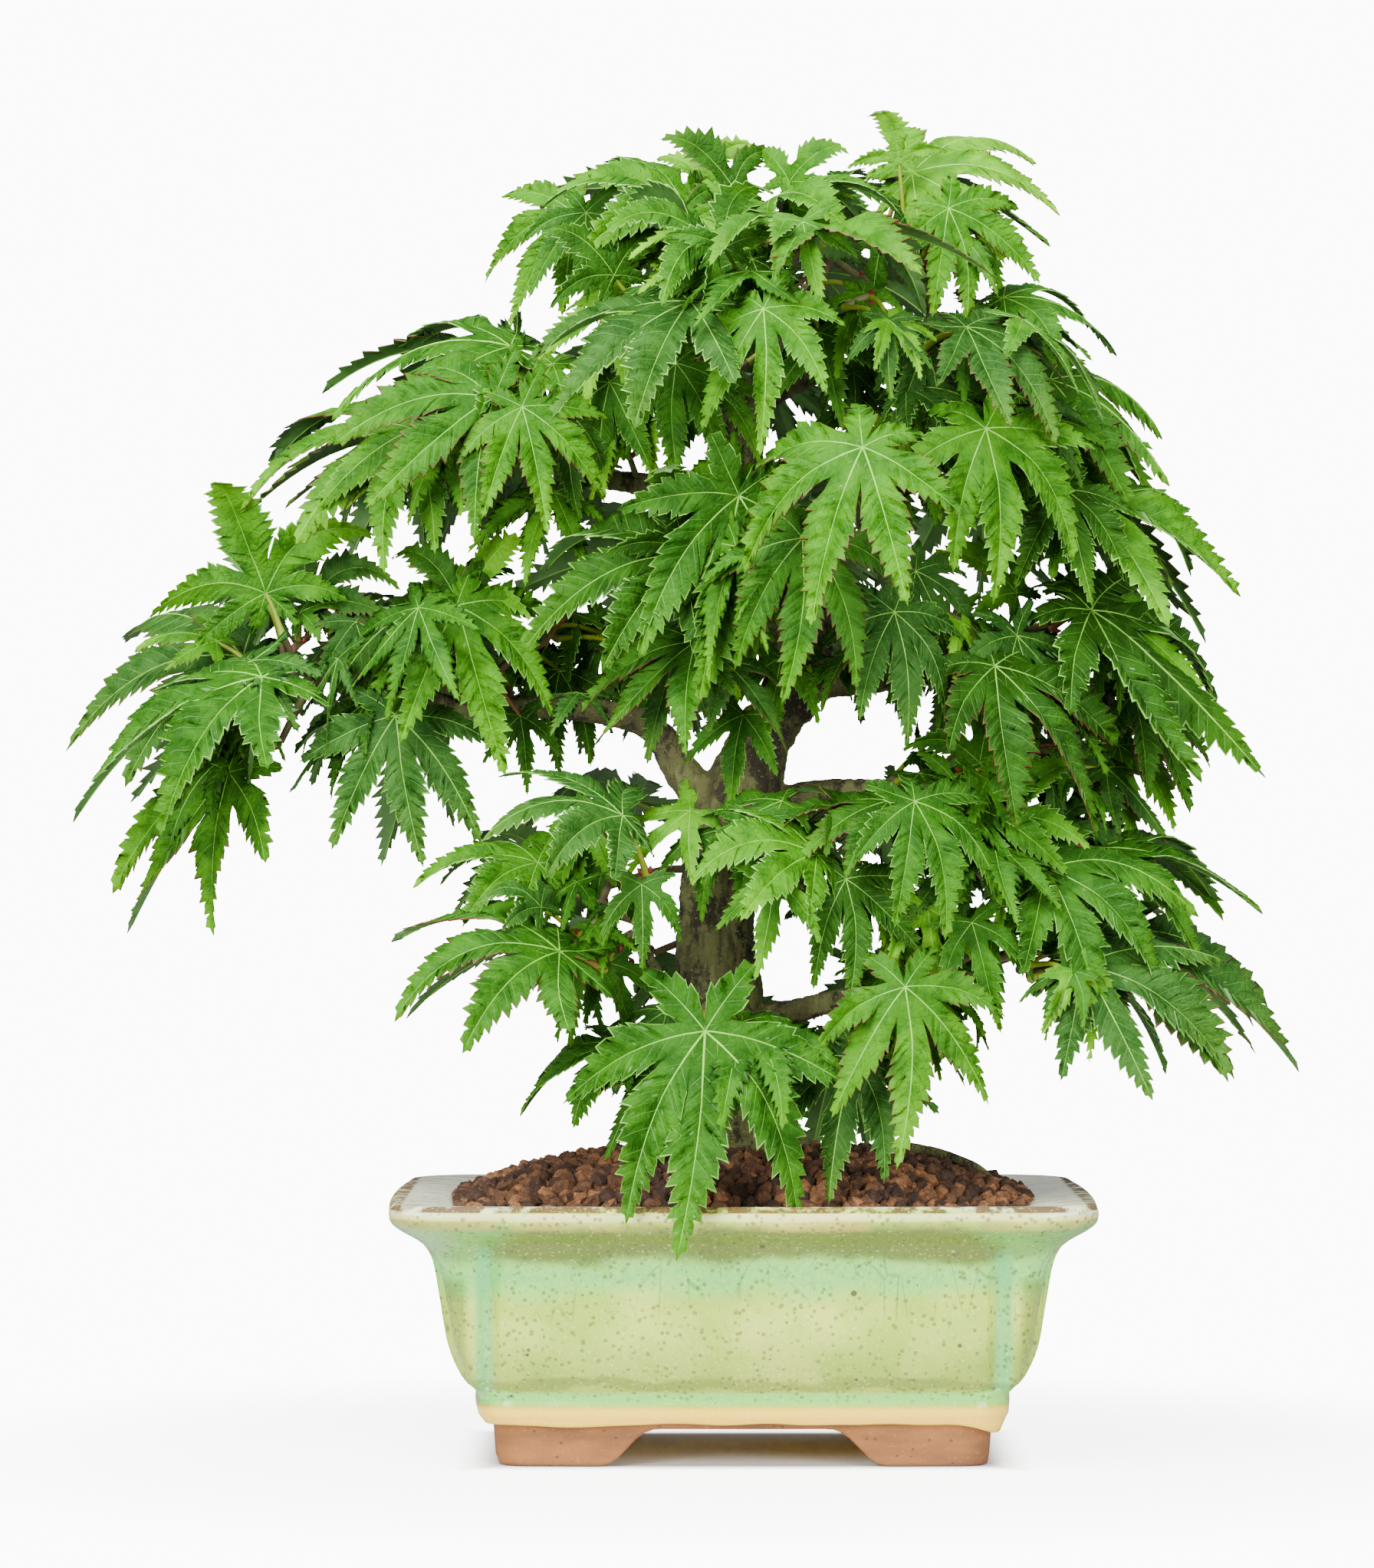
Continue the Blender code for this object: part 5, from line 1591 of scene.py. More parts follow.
    def relief(self, leaf: Leaf, grid: Grid, lobes: Sequence[Lobe], ways: tuple) -> Array:
        """How far each point of the blade stands off its draped plane, in millimetres.

        Args:
            leaf: The leaf.
            grid: The blade's points.
            lobes: The lobes.
            ways: Each lobe's arch, twist, wave and curl.

        Returns:
            The rises.
        """
        arches, twists, waves, curls = (np.array(way)[grid.lobe].T for way in ways)
        u = grid.along / np.array([lobe.length for lobe in lobes])[grid.lobe]
        lateral = np.abs(grid.across) * leaf.span
        t = grid.column
        free = np.clip((grid.radius - 0.1) / 0.25, 0, 1) ** 2
        rise = arches * lateral * (1 - 0.5 * t * t) * free
        rise += twists * grid.across * leaf.span * free * u
        rise += curls * leaf.span * np.clip(u - 0.3, 0, 1) ** 1.6 * 1.8
        phase, height = waves
        rise += height * np.sin(phase + 7 * u + grid.side) * t * t * free * leaf.span / 40
        puff = self.quilt * grid.puff * np.sin(np.pi * np.minimum(t, 0.95)) * np.clip(lateral / 3.0, 0, 1)
        return rise + puff * leaf.span / 42

    def shell(self, leaf: Leaf, grid: Grid, place: Array, normal: Array, rise: Array,
              strips: Sequence[Strip], which: Array, lobes: Sequence[Lobe]) -> dict[str, Array]:
        """Closes the blade with an underside and lays its ribs on it.

        Args:
            leaf: The leaf.
            grid: The blade's points.
            place: The draped points.
            normal: The plane's normal at each.
            rise: Their relief.
            strips: The half lobes.
            which: The point that stands for each.
            lobes: The lobes.

        Returns:
            The meshes, as build gives them.
        """
        count = len(place)
        totals = np.zeros(count)
        counts = np.zeros(count)
        np.add.at(totals, which, rise)
        np.add.at(counts, which, 1)
        rise = (totals / np.maximum(counts, 1))[which]
        shared = np.zeros(count, bool)
        width = len(self.columns)
        for first, *_ in strips:
            shared[first + np.arange(4) * width + width - 1] = True
        rim = (grid.column > 0.999) & ~shared
        half = np.where(rim, 0.0, self.thickness / 2)
        top = place[which] + normal[which] * (rise + half)[:, None]
        low = place[which] + normal[which] * (rise - half)[:, None]
        faces = []
        kinds = []
        for first, rows, _, sign, _ in strips:
            r = np.repeat(np.arange(rows - 1), width - 1)
            c = np.tile(np.arange(width - 1), rows - 1)
            a = first + r * width + c
            quad = np.stack((a, a + width, a + width + 1, a + 1), axis=1)
            upper = quad[:, ::sign]
            # The margin band, which takes the painted edge highlight or the rust.
            band = np.where((c == width - 2) & (r >= 5), 2, 0) * self.edged
            under = upper[:, ::-1] + count
            faces += [upper, under]
            kinds += [band, np.ones(len(under), int)]
        faces = np.concatenate(faces)
        kinds = np.concatenate(kinds)
        merged = np.concatenate((which, which + count))
        rim_points = np.flatnonzero(rim)
        merged[rim_points + count] = which[rim_points]
        faces = merged[faces]
        tris = halved(faces)
        kinds = np.concatenate((kinds, kinds))
        whole = (tris[:, 0] != tris[:, 1]) & (tris[:, 1] != tris[:, 2]) & (tris[:, 0] != tris[:, 2])
        tris = tris[whole]
        used, tris = np.unique(tris, return_inverse=True)
        blade = np.concatenate((top, low))[used]
        reach = np.concatenate((grid.radius, grid.radius))[used]
        veins, vein_faces, vein_kinds = self.ribs(leaf, grid, top, low, normal, strips, lobes)
        return {"blade": blade, "faces": tris.reshape(-1, 3), "kinds": kinds[whole], "reach": reach,
                "veins": veins, "vein_faces": vein_faces, "vein_kinds": vein_kinds}

    def ribs(self, leaf: Leaf, grid: Grid, top: Array, low: Array, normal: Array,
             strips: Sequence[Strip], lobes: Sequence[Lobe]) -> tuple[Array, Array, Array]:
        """Raised midribs, which show on both faces, and the fine side veins that run to the teeth.

        Args:
            leaf: The leaf.
            grid: The blade's points.
            top: Points of the upper face.
            low: Points of the lower face.
            normal: The plane's normal at each point.
            strips: The half lobes.
            lobes: The lobes.

        Returns:
            The points, the triangles and the triangles' kinds.
        """
        points = []
        faces = []
        kinds = []
        size = leaf.span / 42
        width = len(self.columns)

        def add(rings: list[Array], kind: int) -> None:
            """Adds a closed rod over rings of equal point counts.

            Args:
                rings: Its rings.
                kind: 0 for a midrib, 1 for a side vein.
            """
            base = sum(len(p) for p in points)
            n = len(rings[0])
            quads = skin(rings) + base
            faces.append(halved(quads))
            last = base + (len(rings) - 1) * n
            fan = np.array([(0, k + 1, k) for k in range(1, n - 1)])
            faces.extend((fan + base, fan[:, ::-1] + last))
            points.append(np.concatenate(rings))
            kinds.append(np.full(2 * len(quads) + 2 * len(fan), kind))

        for first, rows, i, sign, veins in strips:
            length = lobes[i].length
            if sign > 0:
                line = [first + r * width for r in range(0, rows, 2 if self.edged else 3)]
                middle = (top[line] + low[line]) / 2
                along = np.gradient(middle, axis=0)
                side = units(np.cross(normal[line], along))
                rings = []
                for k, point in enumerate(line):
                    share = min(grid.along[point] / length, 1.0)
                    half = (self.midrib[0] + (self.midrib[1] - self.midrib[0]) * share) * size * (
                        0.45 + 0.55 * length)
                    up = normal[point] * (self.thickness / 2 + half * 0.62)
                    ring = (middle[k] + side[k] * half, middle[k] + up, middle[k] - side[k] * half)
                    rings.append(np.array(ring + (middle[k] - up,) if self.edged else ring))
                add(rings, 0)
            for r in range(rows):
                if not veins[r] or r >= rows - 3:
                    continue
                row = first + r * width
                line = top[[row, row + 1, row + 2] if self.edged else [row, row + 1]]
                heading = unit(line[-1] - line[0])
                rings = []
                for k, point in enumerate(line):
                    half = (self.vein[0] + (self.vein[1] - self.vein[0]) * k / 2) * size
                    n = normal[row + k]
                    side = unit(np.cross(n, heading)) * half
                    rings.append(np.array((point + side - n * 0.05, point + n * half * 0.8,
                                           point - side - n * 0.05)))
                add(rings, 1)
        return np.concatenate(points), np.concatenate(faces), np.concatenate(kinds)


@dataclass
class PackedMass:
    """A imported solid, asked whether a point lies on it."""

    name: str

    def __post_init__(self) -> None:
        """Reads the solid's surface."""
        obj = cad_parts[self.name]
        obj.data.calc_loop_triangles()
        corners = np.empty(len(obj.data.loop_triangles) * 3, np.int32)
        obj.data.loop_triangles.foreach_get("vertices", corners)
        self.tree = BVHTree.FromPolygons(Shop.points(obj).tolist(), corners.reshape(-1, 3).tolist())

    def near(self, point: Array, reach: float) -> bool:
        """Whether the surface passes within reach of a point."""
        return self.tree.find_nearest(Vector(point), reach)[0] is not None


@dataclass
class Mass:
    """One mass of foliage: the limb that carries it, its leaves and the twigs grown so far."""

    name: str
    limb: str
    leaves: list[Leaf]
    solid: PackedMass
    start: Array = field(default_factory=lambda: np.zeros(3))
    stem: list[Array] = field(default_factory=list)
    segments: list[Segment] = field(default_factory=list)


# Leaves that show from the front, by mass. Each row is a leaf: the hub where its lobes meet (x, y, z),
# the way its middle lobe points as seen from the front (0 right, 90 up), its lean towards the front,
# its roll about the middle lobe, and the length of the middle lobe.
LEAVES = {
    "foliage_left_tip": ("bough_left", (
        (-101, -6, 182, 108, 15, 0, 30), (-101, -18, 164, 188, 12, 0, 49), (-109, -4, 144, 226, 6, 10, 42),
        (-107, 4, 169, 170, 4, 0, 48))),
    "foliage_left_inner": ("bough_left_fork", (
        (-73, -16, 156, 282, 20, 0, 36), (-60, -20, 179, 292, 16, 0, 37), (-66, -8, 180, 200, 10, 0, 32))),
    "foliage_upper_left": ("bough_upper_left", (
        (-49, -10, 234, 165, 4, 0, 42), (-52, -28, 222, 222, 16, 0, 38), (-46, -32, 220, 292, 18, 0, 29),
        (-71, -8, 217, 174, 6, 10, 42), (-69, -20, 216, 246, 16, 0, 33))),
    "foliage_top_left": ("trunk", (
        (-12, -12, 263, 142, 10, 0, 34), (-6, -30, 253, 158, 14, 0, 33), (-27, -24, 248, 118, 10, 0, 22),
        (-36, -4, 263, 225, 6, 20, 27), (-11, -44, 241, 198, 20, 0, 44))),
    "foliage_top_front": ("trunk", (
        (4, -52, 239, 275, 24, 0, 30), (-4, -38, 252, 92, 8, 0, 18), (9, -44, 259, 195, 20, 0, 22),
        (14, -42, 256, 4, 16, 0, 41), (6, -24, 264, 20, 10, 0, 33))),
    "foliage_top_right": ("bough_upper_right", (
        (36, -6, 271, 2, 4, 0, 37), (33, -12, 273, 95, 6, 0, 14), (43, -24, 262, 300, 12, 0, 27),
        (55, -14, 244, 8, 8, 0, 29), (58, -26, 238, 345, 14, 0, 28), (46, -40, 236, 335, 18, 0, 31))),
    "foliage_right_upper": ("bough_right_upper", (
        (65, -10, 227, 345, 10, 0, 36), (65, -22, 218, 300, 14, 0, 21), (69, -14, 205, 345, 8, 0, 47),
        (50, -42, 215, 286, 16, 0, 39), (67, -28, 203, 275, 12, 0, 27))),
    "foliage_right_middle": ("bough_right_middle", (
        (73, -20, 178, 330, 8, 0, 50), (52, -38, 166, 318, 14, 0, 41), (31, -44, 177, 285, 16, 0, 30),
        (83, -6, 161, 312, 4, 0, 28), (58, -8, 182, 128, 8, 0, 20))),
    "foliage_right_low": ("bough_right_low", (
        (54, -28, 134, 62, 12, 0, 25), (64, -14, 146, 285, 8, 0, 20), (77, -6, 145, 320, 6, 0, 22),
        (35, -50, 138, 306, 18, 0, 31), (47, -34, 137, 300, 14, 0, 28), (63, -36, 124, 345, 14, 0, 39),
        (75, -14, 128, 2, 6, 0, 41))),
    "foliage_front": ("bough_front", (
        (24, -64, 210, 240, 18, 0, 43), (12, -52, 192, 272, 18, 0, 36), (-1, -44, 201, 258, 10, 0, 43),
        (-12, -42, 189, 174, 16, 0, 40), (-2, -36, 197, 150, 12, 0, 17))),
    "foliage_heart": ("trunk", (
        (-10, -34, 171, 214, 16, 0, 31), (-4, -30, 167, 322, 16, 0, 23), (0, -28, 156, 252, 12, 0, 21),
        (27, -30, 174, 214, 12, 0, 22))),
    "foliage_lower_left": ("bough_lower_left", (
        (-25, -46, 135, 152, 16, 0, 33), (-38, -44, 107, 160, 14, 0, 44), (-21, -54, 121, 270, 20, 0, 19),
        (-43, -20, 125, 160, 8, 0, 29), (-42, -32, 116, 128, 8, 0, 17))),
    "foliage_low_front": ("trunk", (
        (-8, -54, 91, 272, 11, 0, 51), (-26, -24, 87, 188, 10, 0, 26), (-19, -32, 81, 226, 14, 0, 21))),
    "foliage_waist": ("trunk", (
        (15, -46, 127, 150, 14, 0, 33), (6, -54, 122, 262, 20, 0, 21), (21, -46, 122, 286, 16, 0, 26))),
    "foliage_lower_right": ("bough_lower_right", (
        (33, -52, 100, 278, 18, 0, 36), (23, -42, 85, 250, 14, 0, 32), (70, -42, 104, 348, 12, 0, 39),
        (77, -24, 110, 350, 8, 0, 50), (47, -44, 113, 285, 14, 0, 23), (38, -40, 116, 274, 12, 0, 21))),
    "foliage_back_low": ("bough_back_low", ()),
    "foliage_back_middle": ("bough_back_middle", ()),
    "foliage_back_top": ("bough_back_top", ()),
}
# Smaller leaves of the finer twigs, set in the same way where the crown would show bare wood.
FINER_LEAVES = {
    "foliage_left_tip": (
        (-92, 3, 180, 60, 4, 0, 24), (-94, 0, 178, 28, 4, 0, 18), (-82, -6, 176, 290, 8, 0, 22),
        (-84, 2, 178, 20, 6, 0, 20), (-112, 2, 172, 152, 4, 0, 20)),
    "foliage_left_inner": (
        (-60, -18, 180, 115, 10, 0, 20), (-57, -14, 181, 72, 8, 0, 21), (-47, -8, 156, 280, 10, 0, 17),
        (-36, 10, 178, 214, 6, 0, 22), (-30, 12, 174, 250, 4, 0, 27), (-24, 11, 171, 290, 4, 0, 23),
        (-39, 9, 166, 262, 6, 0, 25), (-46, 10, 170, 236, 4, 0, 23)),
    "foliage_upper_left": (
        (-28, -18, 226, 255, 12, 0, 26), (-33, -12, 222, 292, 10, 0, 21), (-22, -14, 224, 245, 10, 0, 25),
        (-40, -14, 230, 205, 8, 0, 26), (-36, -20, 219, 262, 12, 0, 22)),
    "foliage_top_left": (
        (-33, -14, 262, 266, 12, 0, 24), (-20, -10, 256, 200, 8, 0, 24), (-14, -18, 230, 262, 12, 0, 28),
        (-8, -12, 226, 288, 10, 0, 24), (-26, -20, 243, 235, 12, 0, 25), (-2, -6, 268, 120, 6, 0, 20),
        (-8, 4, 270, 70, 4, 0, 17)),
    "foliage_top_front": (
        (12, -50, 257, 280, 24, 0, 19), (25, -30, 243, 234, 14, 0, 18), (25, -30, 244, 318, 14, 0, 17),
        (30, -46, 237, 262, 20, 0, 17), (30, -46, 237, 312, 20, 0, 15), (10, -8, 269, 60, 6, 0, 18),
        (18, 2, 268, 20, 6, 0, 22), (16, -24, 236, 285, 14, 0, 23), (14, -20, 240, 240, 12, 0, 21)),
    "foliage_top_right": (
        (50, -4, 262, 285, 8, 0, 19), (38, -26, 234, 290, 14, 0, 25), (26, -8, 238, 262, 10, 0, 22),
        (30, -4, 236, 300, 10, 0, 22), (30, -10, 258, 250, 8, 0, 22)),
    "foliage_right_upper": (
        (34, -28, 224, 8, 12, 0, 25), (36, -16, 220, 282, 10, 0, 24), (26, -14, 222, 255, 10, 0, 22),
        (56, -10, 212, 300, 8, 0, 25)),
    "foliage_right_middle": (
        (36, -28, 186, 300, 12, 0, 24), (44, -12, 176, 262, 8, 0, 25), (58, -10, 170, 250, 8, 0, 24)),
    "foliage_right_low": (
        (68, -4, 150, 262, 6, 0, 24), (80, -2, 150, 282, 4, 0, 24), (30, -42, 138, 192, 12, 0, 26),
        (22, -38, 136, 160, 12, 0, 21), (44, -16, 143, 244, 8, 0, 22), (50, -14, 146, 80, 8, 0, 22)),
    "foliage_front": (
        (-12, -38, 190, 100, 12, 0, 22), (4, -24, 184, 264, 10, 0, 25), (-6, -24, 180, 286, 10, 0, 22)),
    "foliage_heart": (
        (-14, -26, 168, 250, 10, 0, 22), (8, -24, 168, 262, 10, 0, 22)),
    "foliage_lower_left": (
        (-32, -20, 134, 235, 8, 0, 21), (-36, -12, 130, 200, 6, 0, 25), (-29, -16, 126, 258, 6, 0, 21),
        (-34, -26, 108, 262, 10, 0, 22), (-28, -20, 104, 290, 8, 0, 19)),
    "foliage_low_front": (
        (-16, -26, 94, 205, 10, 0, 22), (4, -26, 88, 300, 10, 0, 22), (-20, -14, 84, 250, 6, 0, 20)),
    "foliage_waist": (
        (-5, -36, 132, 245, 14, 0, 21), (2, -42, 134, 262, 16, 0, 22), (-11, -34, 136, 214, 12, 0, 23),
        (8, -38, 138, 196, 12, 0, 23)),
    "foliage_lower_right": (
        (68, -46, 103, 225, 14, 0, 17), (68, -46, 103, 295, 14, 0, 19), (52, -26, 112, 262, 8, 0, 22),
        (40, -24, 104, 240, 8, 0, 21), (28, -26, 92, 292, 8, 0, 22), (62, -20, 112, 60, 6, 0, 22)),
}
# Where a mass leaves the trunk itself, the place and the way that its stem starts.
TRUNK_STARTS = {
    "foliage_top_left": ((4.2, 2.5, 225), (-0.9, -0.45, 0.5)),
    "foliage_top_front": ((15.0, 1.0, 248), (-0.1, -0.25, 1.0)),
    "foliage_heart": ((9.0, 1.6, 158), (-0.3, -1.0, 0.3)),
    "foliage_low_front": ((-4.5, -0.5, 92), (-0.15, -1.0, 0.2)),
    "foliage_waist": ((-5.0, 0.8, 121), (0.5, -1.0, 0.2)),
}
# The far side is filled by a twin of each front leaf: the mass that takes it, where it isn't its own.
TWIN_MASS = {
    "foliage_top_left": "foliage_back_top",
    "foliage_top_front": "foliage_back_top",
    "foliage_front": "foliage_back_middle",
    "foliage_heart": "foliage_back_middle",
    "foliage_waist": "foliage_back_low",
    "foliage_low_front": "foliage_back_low",
    "foliage_lower_left": "foliage_back_low",
}


@dataclass(frozen=True)
class Opening:
    """A part of the front view, in millimetres at the pot's axis, that added leaves leave free."""

    left: float
    right: float
    low: float
    high: float
    sky: bool = True

    def crossed(self, point: Array) -> bool:
        """Whether a point would show in it; an opening on bark is only hidden by what hangs in front.

        Args:
            point: The point.

        Returns:
            True where it would.
        """
        eye = np.array(Studio.eye)
        seen = eye + (point - eye) * eye[1] / (eye[1] - point[1])
        inside = self.left < seen[0] < self.right and self.low < seen[2] < self.high
        return inside and (self.sky or point[1] < 0)


# Sky between the sprays, then bark that shows.
OPENINGS = tuple(Opening(*row) for row in (
    (-43, -17, 178, 184.5), (5, 29, 139, 156), (31, 46, 182, 194), (-108, -85, 192, 207),
    (-66, -54, 192, 196), (-17, -10, 110, 124), (4, 14, 98, 121), (-80, -44, 56, 80), (48, 82, 56, 82),
    (50, 76, 94, 101), (-76, -46, 136, 150), (-60, -44, 96, 104), (-15, -9, 148, 158), (54, 70, 173, 183),
    (86, 97, 147, 158), (-2, 6, 227, 232), (54, 78, 96, 106), (-13, 2, 97, 121, False),
    (-4, 12, 141, 162, False), (15, 23, 174, 189, False), (-3, 9, 203, 218, False)))


@dataclass
class Foliage:
    """The crown: twigs that branch by the growth rule, with a petiole and a blade for each leaf and two buds
    for some.
    """

    wood: Wood
    seed: int = 41
    clearance: float = 0.3
    pot_width: float = 149.0
    twin_span: float = 0.94
    twin_jitter: float = 3.0
    twin_turn_jitter: float = 14.0
    twin_step_back: float = 5.0
    twin_least_span: float = 27.5
    twin_least_front: float = -5.0
    twin_turn_out: float = 80.0
    front_turn_out: float = 12.0
    face_tilt: float = 32.0
    sideways_tilt: float = 30.0
    stem_radius: float = 1.35
    stem_bend: float = 0.2
    stem_reach: float = 0.5
    stem_stand_off: float = 0.25
    petiole_length: float = 17.0
    petiole_share: float = 0.45
    petiole_seat: float = 0.045
    joint_pull: float = 0.25
    twig_arch: float = 0.06
    # Ways in which a packed leaf may be held: moves in millimetres, sways as shares,
    # leans and rolls in degrees.
    nudges: tuple[float, ...] = (0, -3, 3, -6, 6, -9, 9)
    sways: tuple[float, ...] = (0.0, 0.15, -0.15)
    shifts: tuple[float, ...] = (0, -4, 4, -8, 8)
    leans: tuple[float, ...] = (0, 8, -8, 16, -14, 24)
    rolls: tuple[float, ...] = (0, 12, -12, 24, -24)
    twig_fit: float = 1.15
    fit: float = 0.25
    fit_share: float = 0.75
    partners_each: int = 1
    partner_tries: int = 12
    partner_share: tuple[float, float] = (0.5, 0.86)
    partner_span: tuple[float, float] = (13.0, 30.0)
    partner_petiole: tuple[float, float] = (3.5, 0.3)
    partner_reach: float = 9.0
    open_side: float = -50.0
    shoot_gap: float = 9.0
    shoot_span: tuple[float, float] = (15.0, 25.0)
    shoot_reach: float = 26.0
    hub_gap: float = 6.5
    bark_gap: float = 1.0
    lowest: float = 62.0
    form: LeafForm = field(default_factory=LeafForm)
    far_form: LeafForm = field(default_factory=lambda: LeafForm(serrate=False))
    fine_form: LeafForm = field(default_factory=lambda: LeafForm(columns=(0.0, 0.55, 1.0), edged=False,
                                                                 serrate=False))
    upper_from: float = 172.0
    small_leaf: float = 26.0
    large_leaf: float = 32.0
    young_from: float = 232.0
    rust_from: float = -12.0
    rust_share: tuple[float, float] = (0.25, 0.65)
    bud_share: tuple[float, float] = (0.45, 0.15)
    ruddy_share: float = 0.1
    twig_ends: tuple[float, float] = (0.95, 0.8)
    petiole_ends: tuple[float, float] = (0.7, 0.46)

    def axes(self, turn: float, aim: float, lean: float, roll: float) -> tuple[Array, Array, Array]:
        """A leaf's middle lobe, sideways and upper directions from its angles in radians.

        Args:
            turn: Its turn about the upright.
            aim: The way of its middle lobe, as seen from there.
            lean: Its lean out of that view.
            roll: Its roll about the middle lobe.

        Returns:
            The three directions.
        """
        out = np.array((math.sin(turn), -math.cos(turn), 0.0))
        side = np.array((math.cos(turn), math.sin(turn), 0.0))
        axis = math.cos(lean) * (math.cos(aim) * side + math.sin(aim) * UP) + math.sin(lean) * out
        tilt = math.radians(self.face_tilt + self.sideways_tilt * abs(math.cos(aim)))
        ref = math.cos(tilt) * out + math.sin(tilt) * UP
        normal = unit(ref - axis * np.dot(ref, axis))
        across = np.cross(normal, axis)
        return self.turned((axis, across, normal), 0.0, roll)

    @staticmethod
    def turned(axes: tuple[Array, Array, Array], lean: float, roll: float) -> tuple[Array, Array, Array]:
        """Axes leant towards the upper face and rolled about the middle lobe, by angles in radians.

        Args:
            axes: The three directions.
            lean: The lean.
            roll: The roll.

        Returns:
            The new directions.
        """
        axis, across, normal = axes
        axis, normal = (axis * math.cos(lean) + normal * math.sin(lean),
                        normal * math.cos(lean) - axis * math.sin(lean))
        normal, across = (normal * math.cos(roll) + across * math.sin(roll),
                          across * math.cos(roll) - normal * math.sin(roll))
        return axis, across, normal

    def leaf(self, row: Sequence[float], twin: bool) -> Leaf:
        """A leaf from its row: front leaves face the front, twins face back and out.

        Args:
            row: The row, as in LEAVES.
            twin: Whether it is on the far side.

        Returns:
            The leaf.
        """
        x, y, z, aim, lean, roll, span = row
        turn = self.front_turn_out * x / self.pot_width
        if twin:
            turn = 180 - self.twin_turn_out * x / self.pot_width
        angles = [math.radians(value) for value in (turn, aim, lean, roll)]
        return Leaf(np.array((x, y, z), float), float(span), twin, self.axes(*angles))

    def twins(self) -> dict[str, list[tuple]]:
        """Rows of the far side's leaves, by mass.

        Returns:
            The rows, as in LEAVES.
        """
        rng = random.Random(self.seed)
        rows = {name: [] for name in LEAVES}
        for name, (_, fronts) in LEAVES.items():
            for x, y, z, aim, lean, roll, span in fronts:
                shift = [rng.uniform(-self.twin_jitter, self.twin_jitter) for _ in range(3)]
                turn_by = rng.uniform(-self.twin_turn_jitter, self.twin_turn_jitter)
                if span < self.twin_least_span or y > self.twin_least_front:
                    continue
                rows[TWIN_MASS.get(name, name)].append(
                    (x + shift[0], -y + self.twin_step_back + shift[1], z + shift[2],
                     180 - aim + turn_by, lean, -roll, span * self.twin_span))
        return rows

    def petiole_end(self, leaf: Leaf) -> Array:
        """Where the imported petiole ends, a little short of the hub."""
        return leaf.hub - leaf.axes[0] * self.petiole_seat * leaf.span

    def root(self, leaf: Leaf, start: Array) -> Array:
        """Where a leaf's petiole leaves its twig: back from the hub, towards the stem.

        Args:
            leaf: The leaf.
            start: Where the mass's stem starts.

        Returns:
            The place.
        """
        away = leaf.hub - start
        heading = unit(0.6 * unit(away) + 0.35 * leaf.axes[0] + 0.3 * UP)
        return leaf.hub - heading * min(self.petiole_length, self.petiole_share * norm(away))

    def joint(self, mass: Mass, root: Array) -> Array:
        """The point of the mass's twigs so far that a new twig grows from.

        Args:
            mass: The mass.
            root: Where the new petiole starts.

        Returns:
            The point.
        """
        best = None
        for a, b in mass.segments:
            t = float(np.clip(np.dot(root - a, b - a) / max(np.dot(b - a, b - a), SMALL), 0.0, 1.0))
            p = a + (b - a) * t
            cost = norm(root - p) + self.joint_pull * norm(p - mass.start)
            if best is None or cost < best[0]:
                best = (cost, p)
        return best[1]

    def shoot(self, joint: Array, root: Array, leaf: Leaf, sway: float) -> list[Array]:
        """The line of a leaf's twig and petiole, from the joint to just short of the hub.

        Args:
            joint: Where the twig starts.
            root: Where the petiole starts.
            leaf: The leaf.
            sway: How far the twig bows back, as a share of its length.

        Returns:
            The line.
        """
        gap = norm(root - joint)
        line = [joint]
        if gap > 3.0:
            line.append((root + joint) / 2 + np.array((0, sway * gap, self.twig_arch * gap)))
        if gap > 1.0:
            line.append(root)
        line.append(self.petiole_end(leaf))
        return line

    def grow_stem(self, mass: Mass) -> None:
        """The mass's stem, from its limb towards the middle of its leaves.

        Args:
            mass: The mass, which gets its stem, start and first segments.
        """
        if mass.limb == "trunk":
            place, heading = TRUNK_STARTS[mass.name]
            heading = unit(heading)
            line, radii = self.wood.line("trunk", 2)
            near = min(range(len(line)), key=lambda i: norm(line[i] - np.array(place)))
            reach = radii[near] + self.clearance + self.stem_stand_off
            if near == len(line) - 1:
                reach = self.clearance
            base = np.array(place, float) + heading * reach
        else:
            line, _ = self.wood.line(mass.limb, 2)
            heading = unit(line[-1] - line[-2])
            base = line[-1] + heading * self.clearance
        centre = sum(leaf.hub for leaf in mass.leaves) / len(mass.leaves)
        bend = base + heading * self.stem_bend * norm(centre - base)
        mass.stem = catmull((base, bend, base + (centre - base) * self.stem_reach), 2)
        mass.start = mass.stem[2]
        mass.segments = [(mass.stem[k], mass.stem[k + 1]) for k in range(1, len(mass.stem) - 1)]
        mass.stem = [base - heading * 2.6] + mass.stem

    def grow_shoots(self, mass: Mass) -> None:
        """A twig and petiole for each leaf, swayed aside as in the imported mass.

        Args:
            mass: The mass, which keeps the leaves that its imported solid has.
        """
        rooted = []
        for leaf in sorted(mass.leaves, key=lambda item: norm(item.hub - mass.start)):
            home = leaf.hub.copy()
            for nudge in self.nudges:
                leaf.hub = home + (0.0, nudge, 0.0)
                root = self.root(leaf, mass.start)
                joint = self.joint(mass, root)
                ways = [self.shoot(joint, root, leaf, sway) for sway in self.sways]
                held = [line for line in ways if all(mass.solid.near(p, self.twig_fit) for p in line[1:-1])]
                if held and self.hold(mass, leaf):
                    leaf.line = held[0]
                    mass.segments += list(zip(held[0][:-2], held[0][1:-1]))
                    rooted.append(leaf)
                    break
            else:
                LOG.info("no packed leaf in %s near %s", mass.name, home.round())
        mass.leaves = rooted

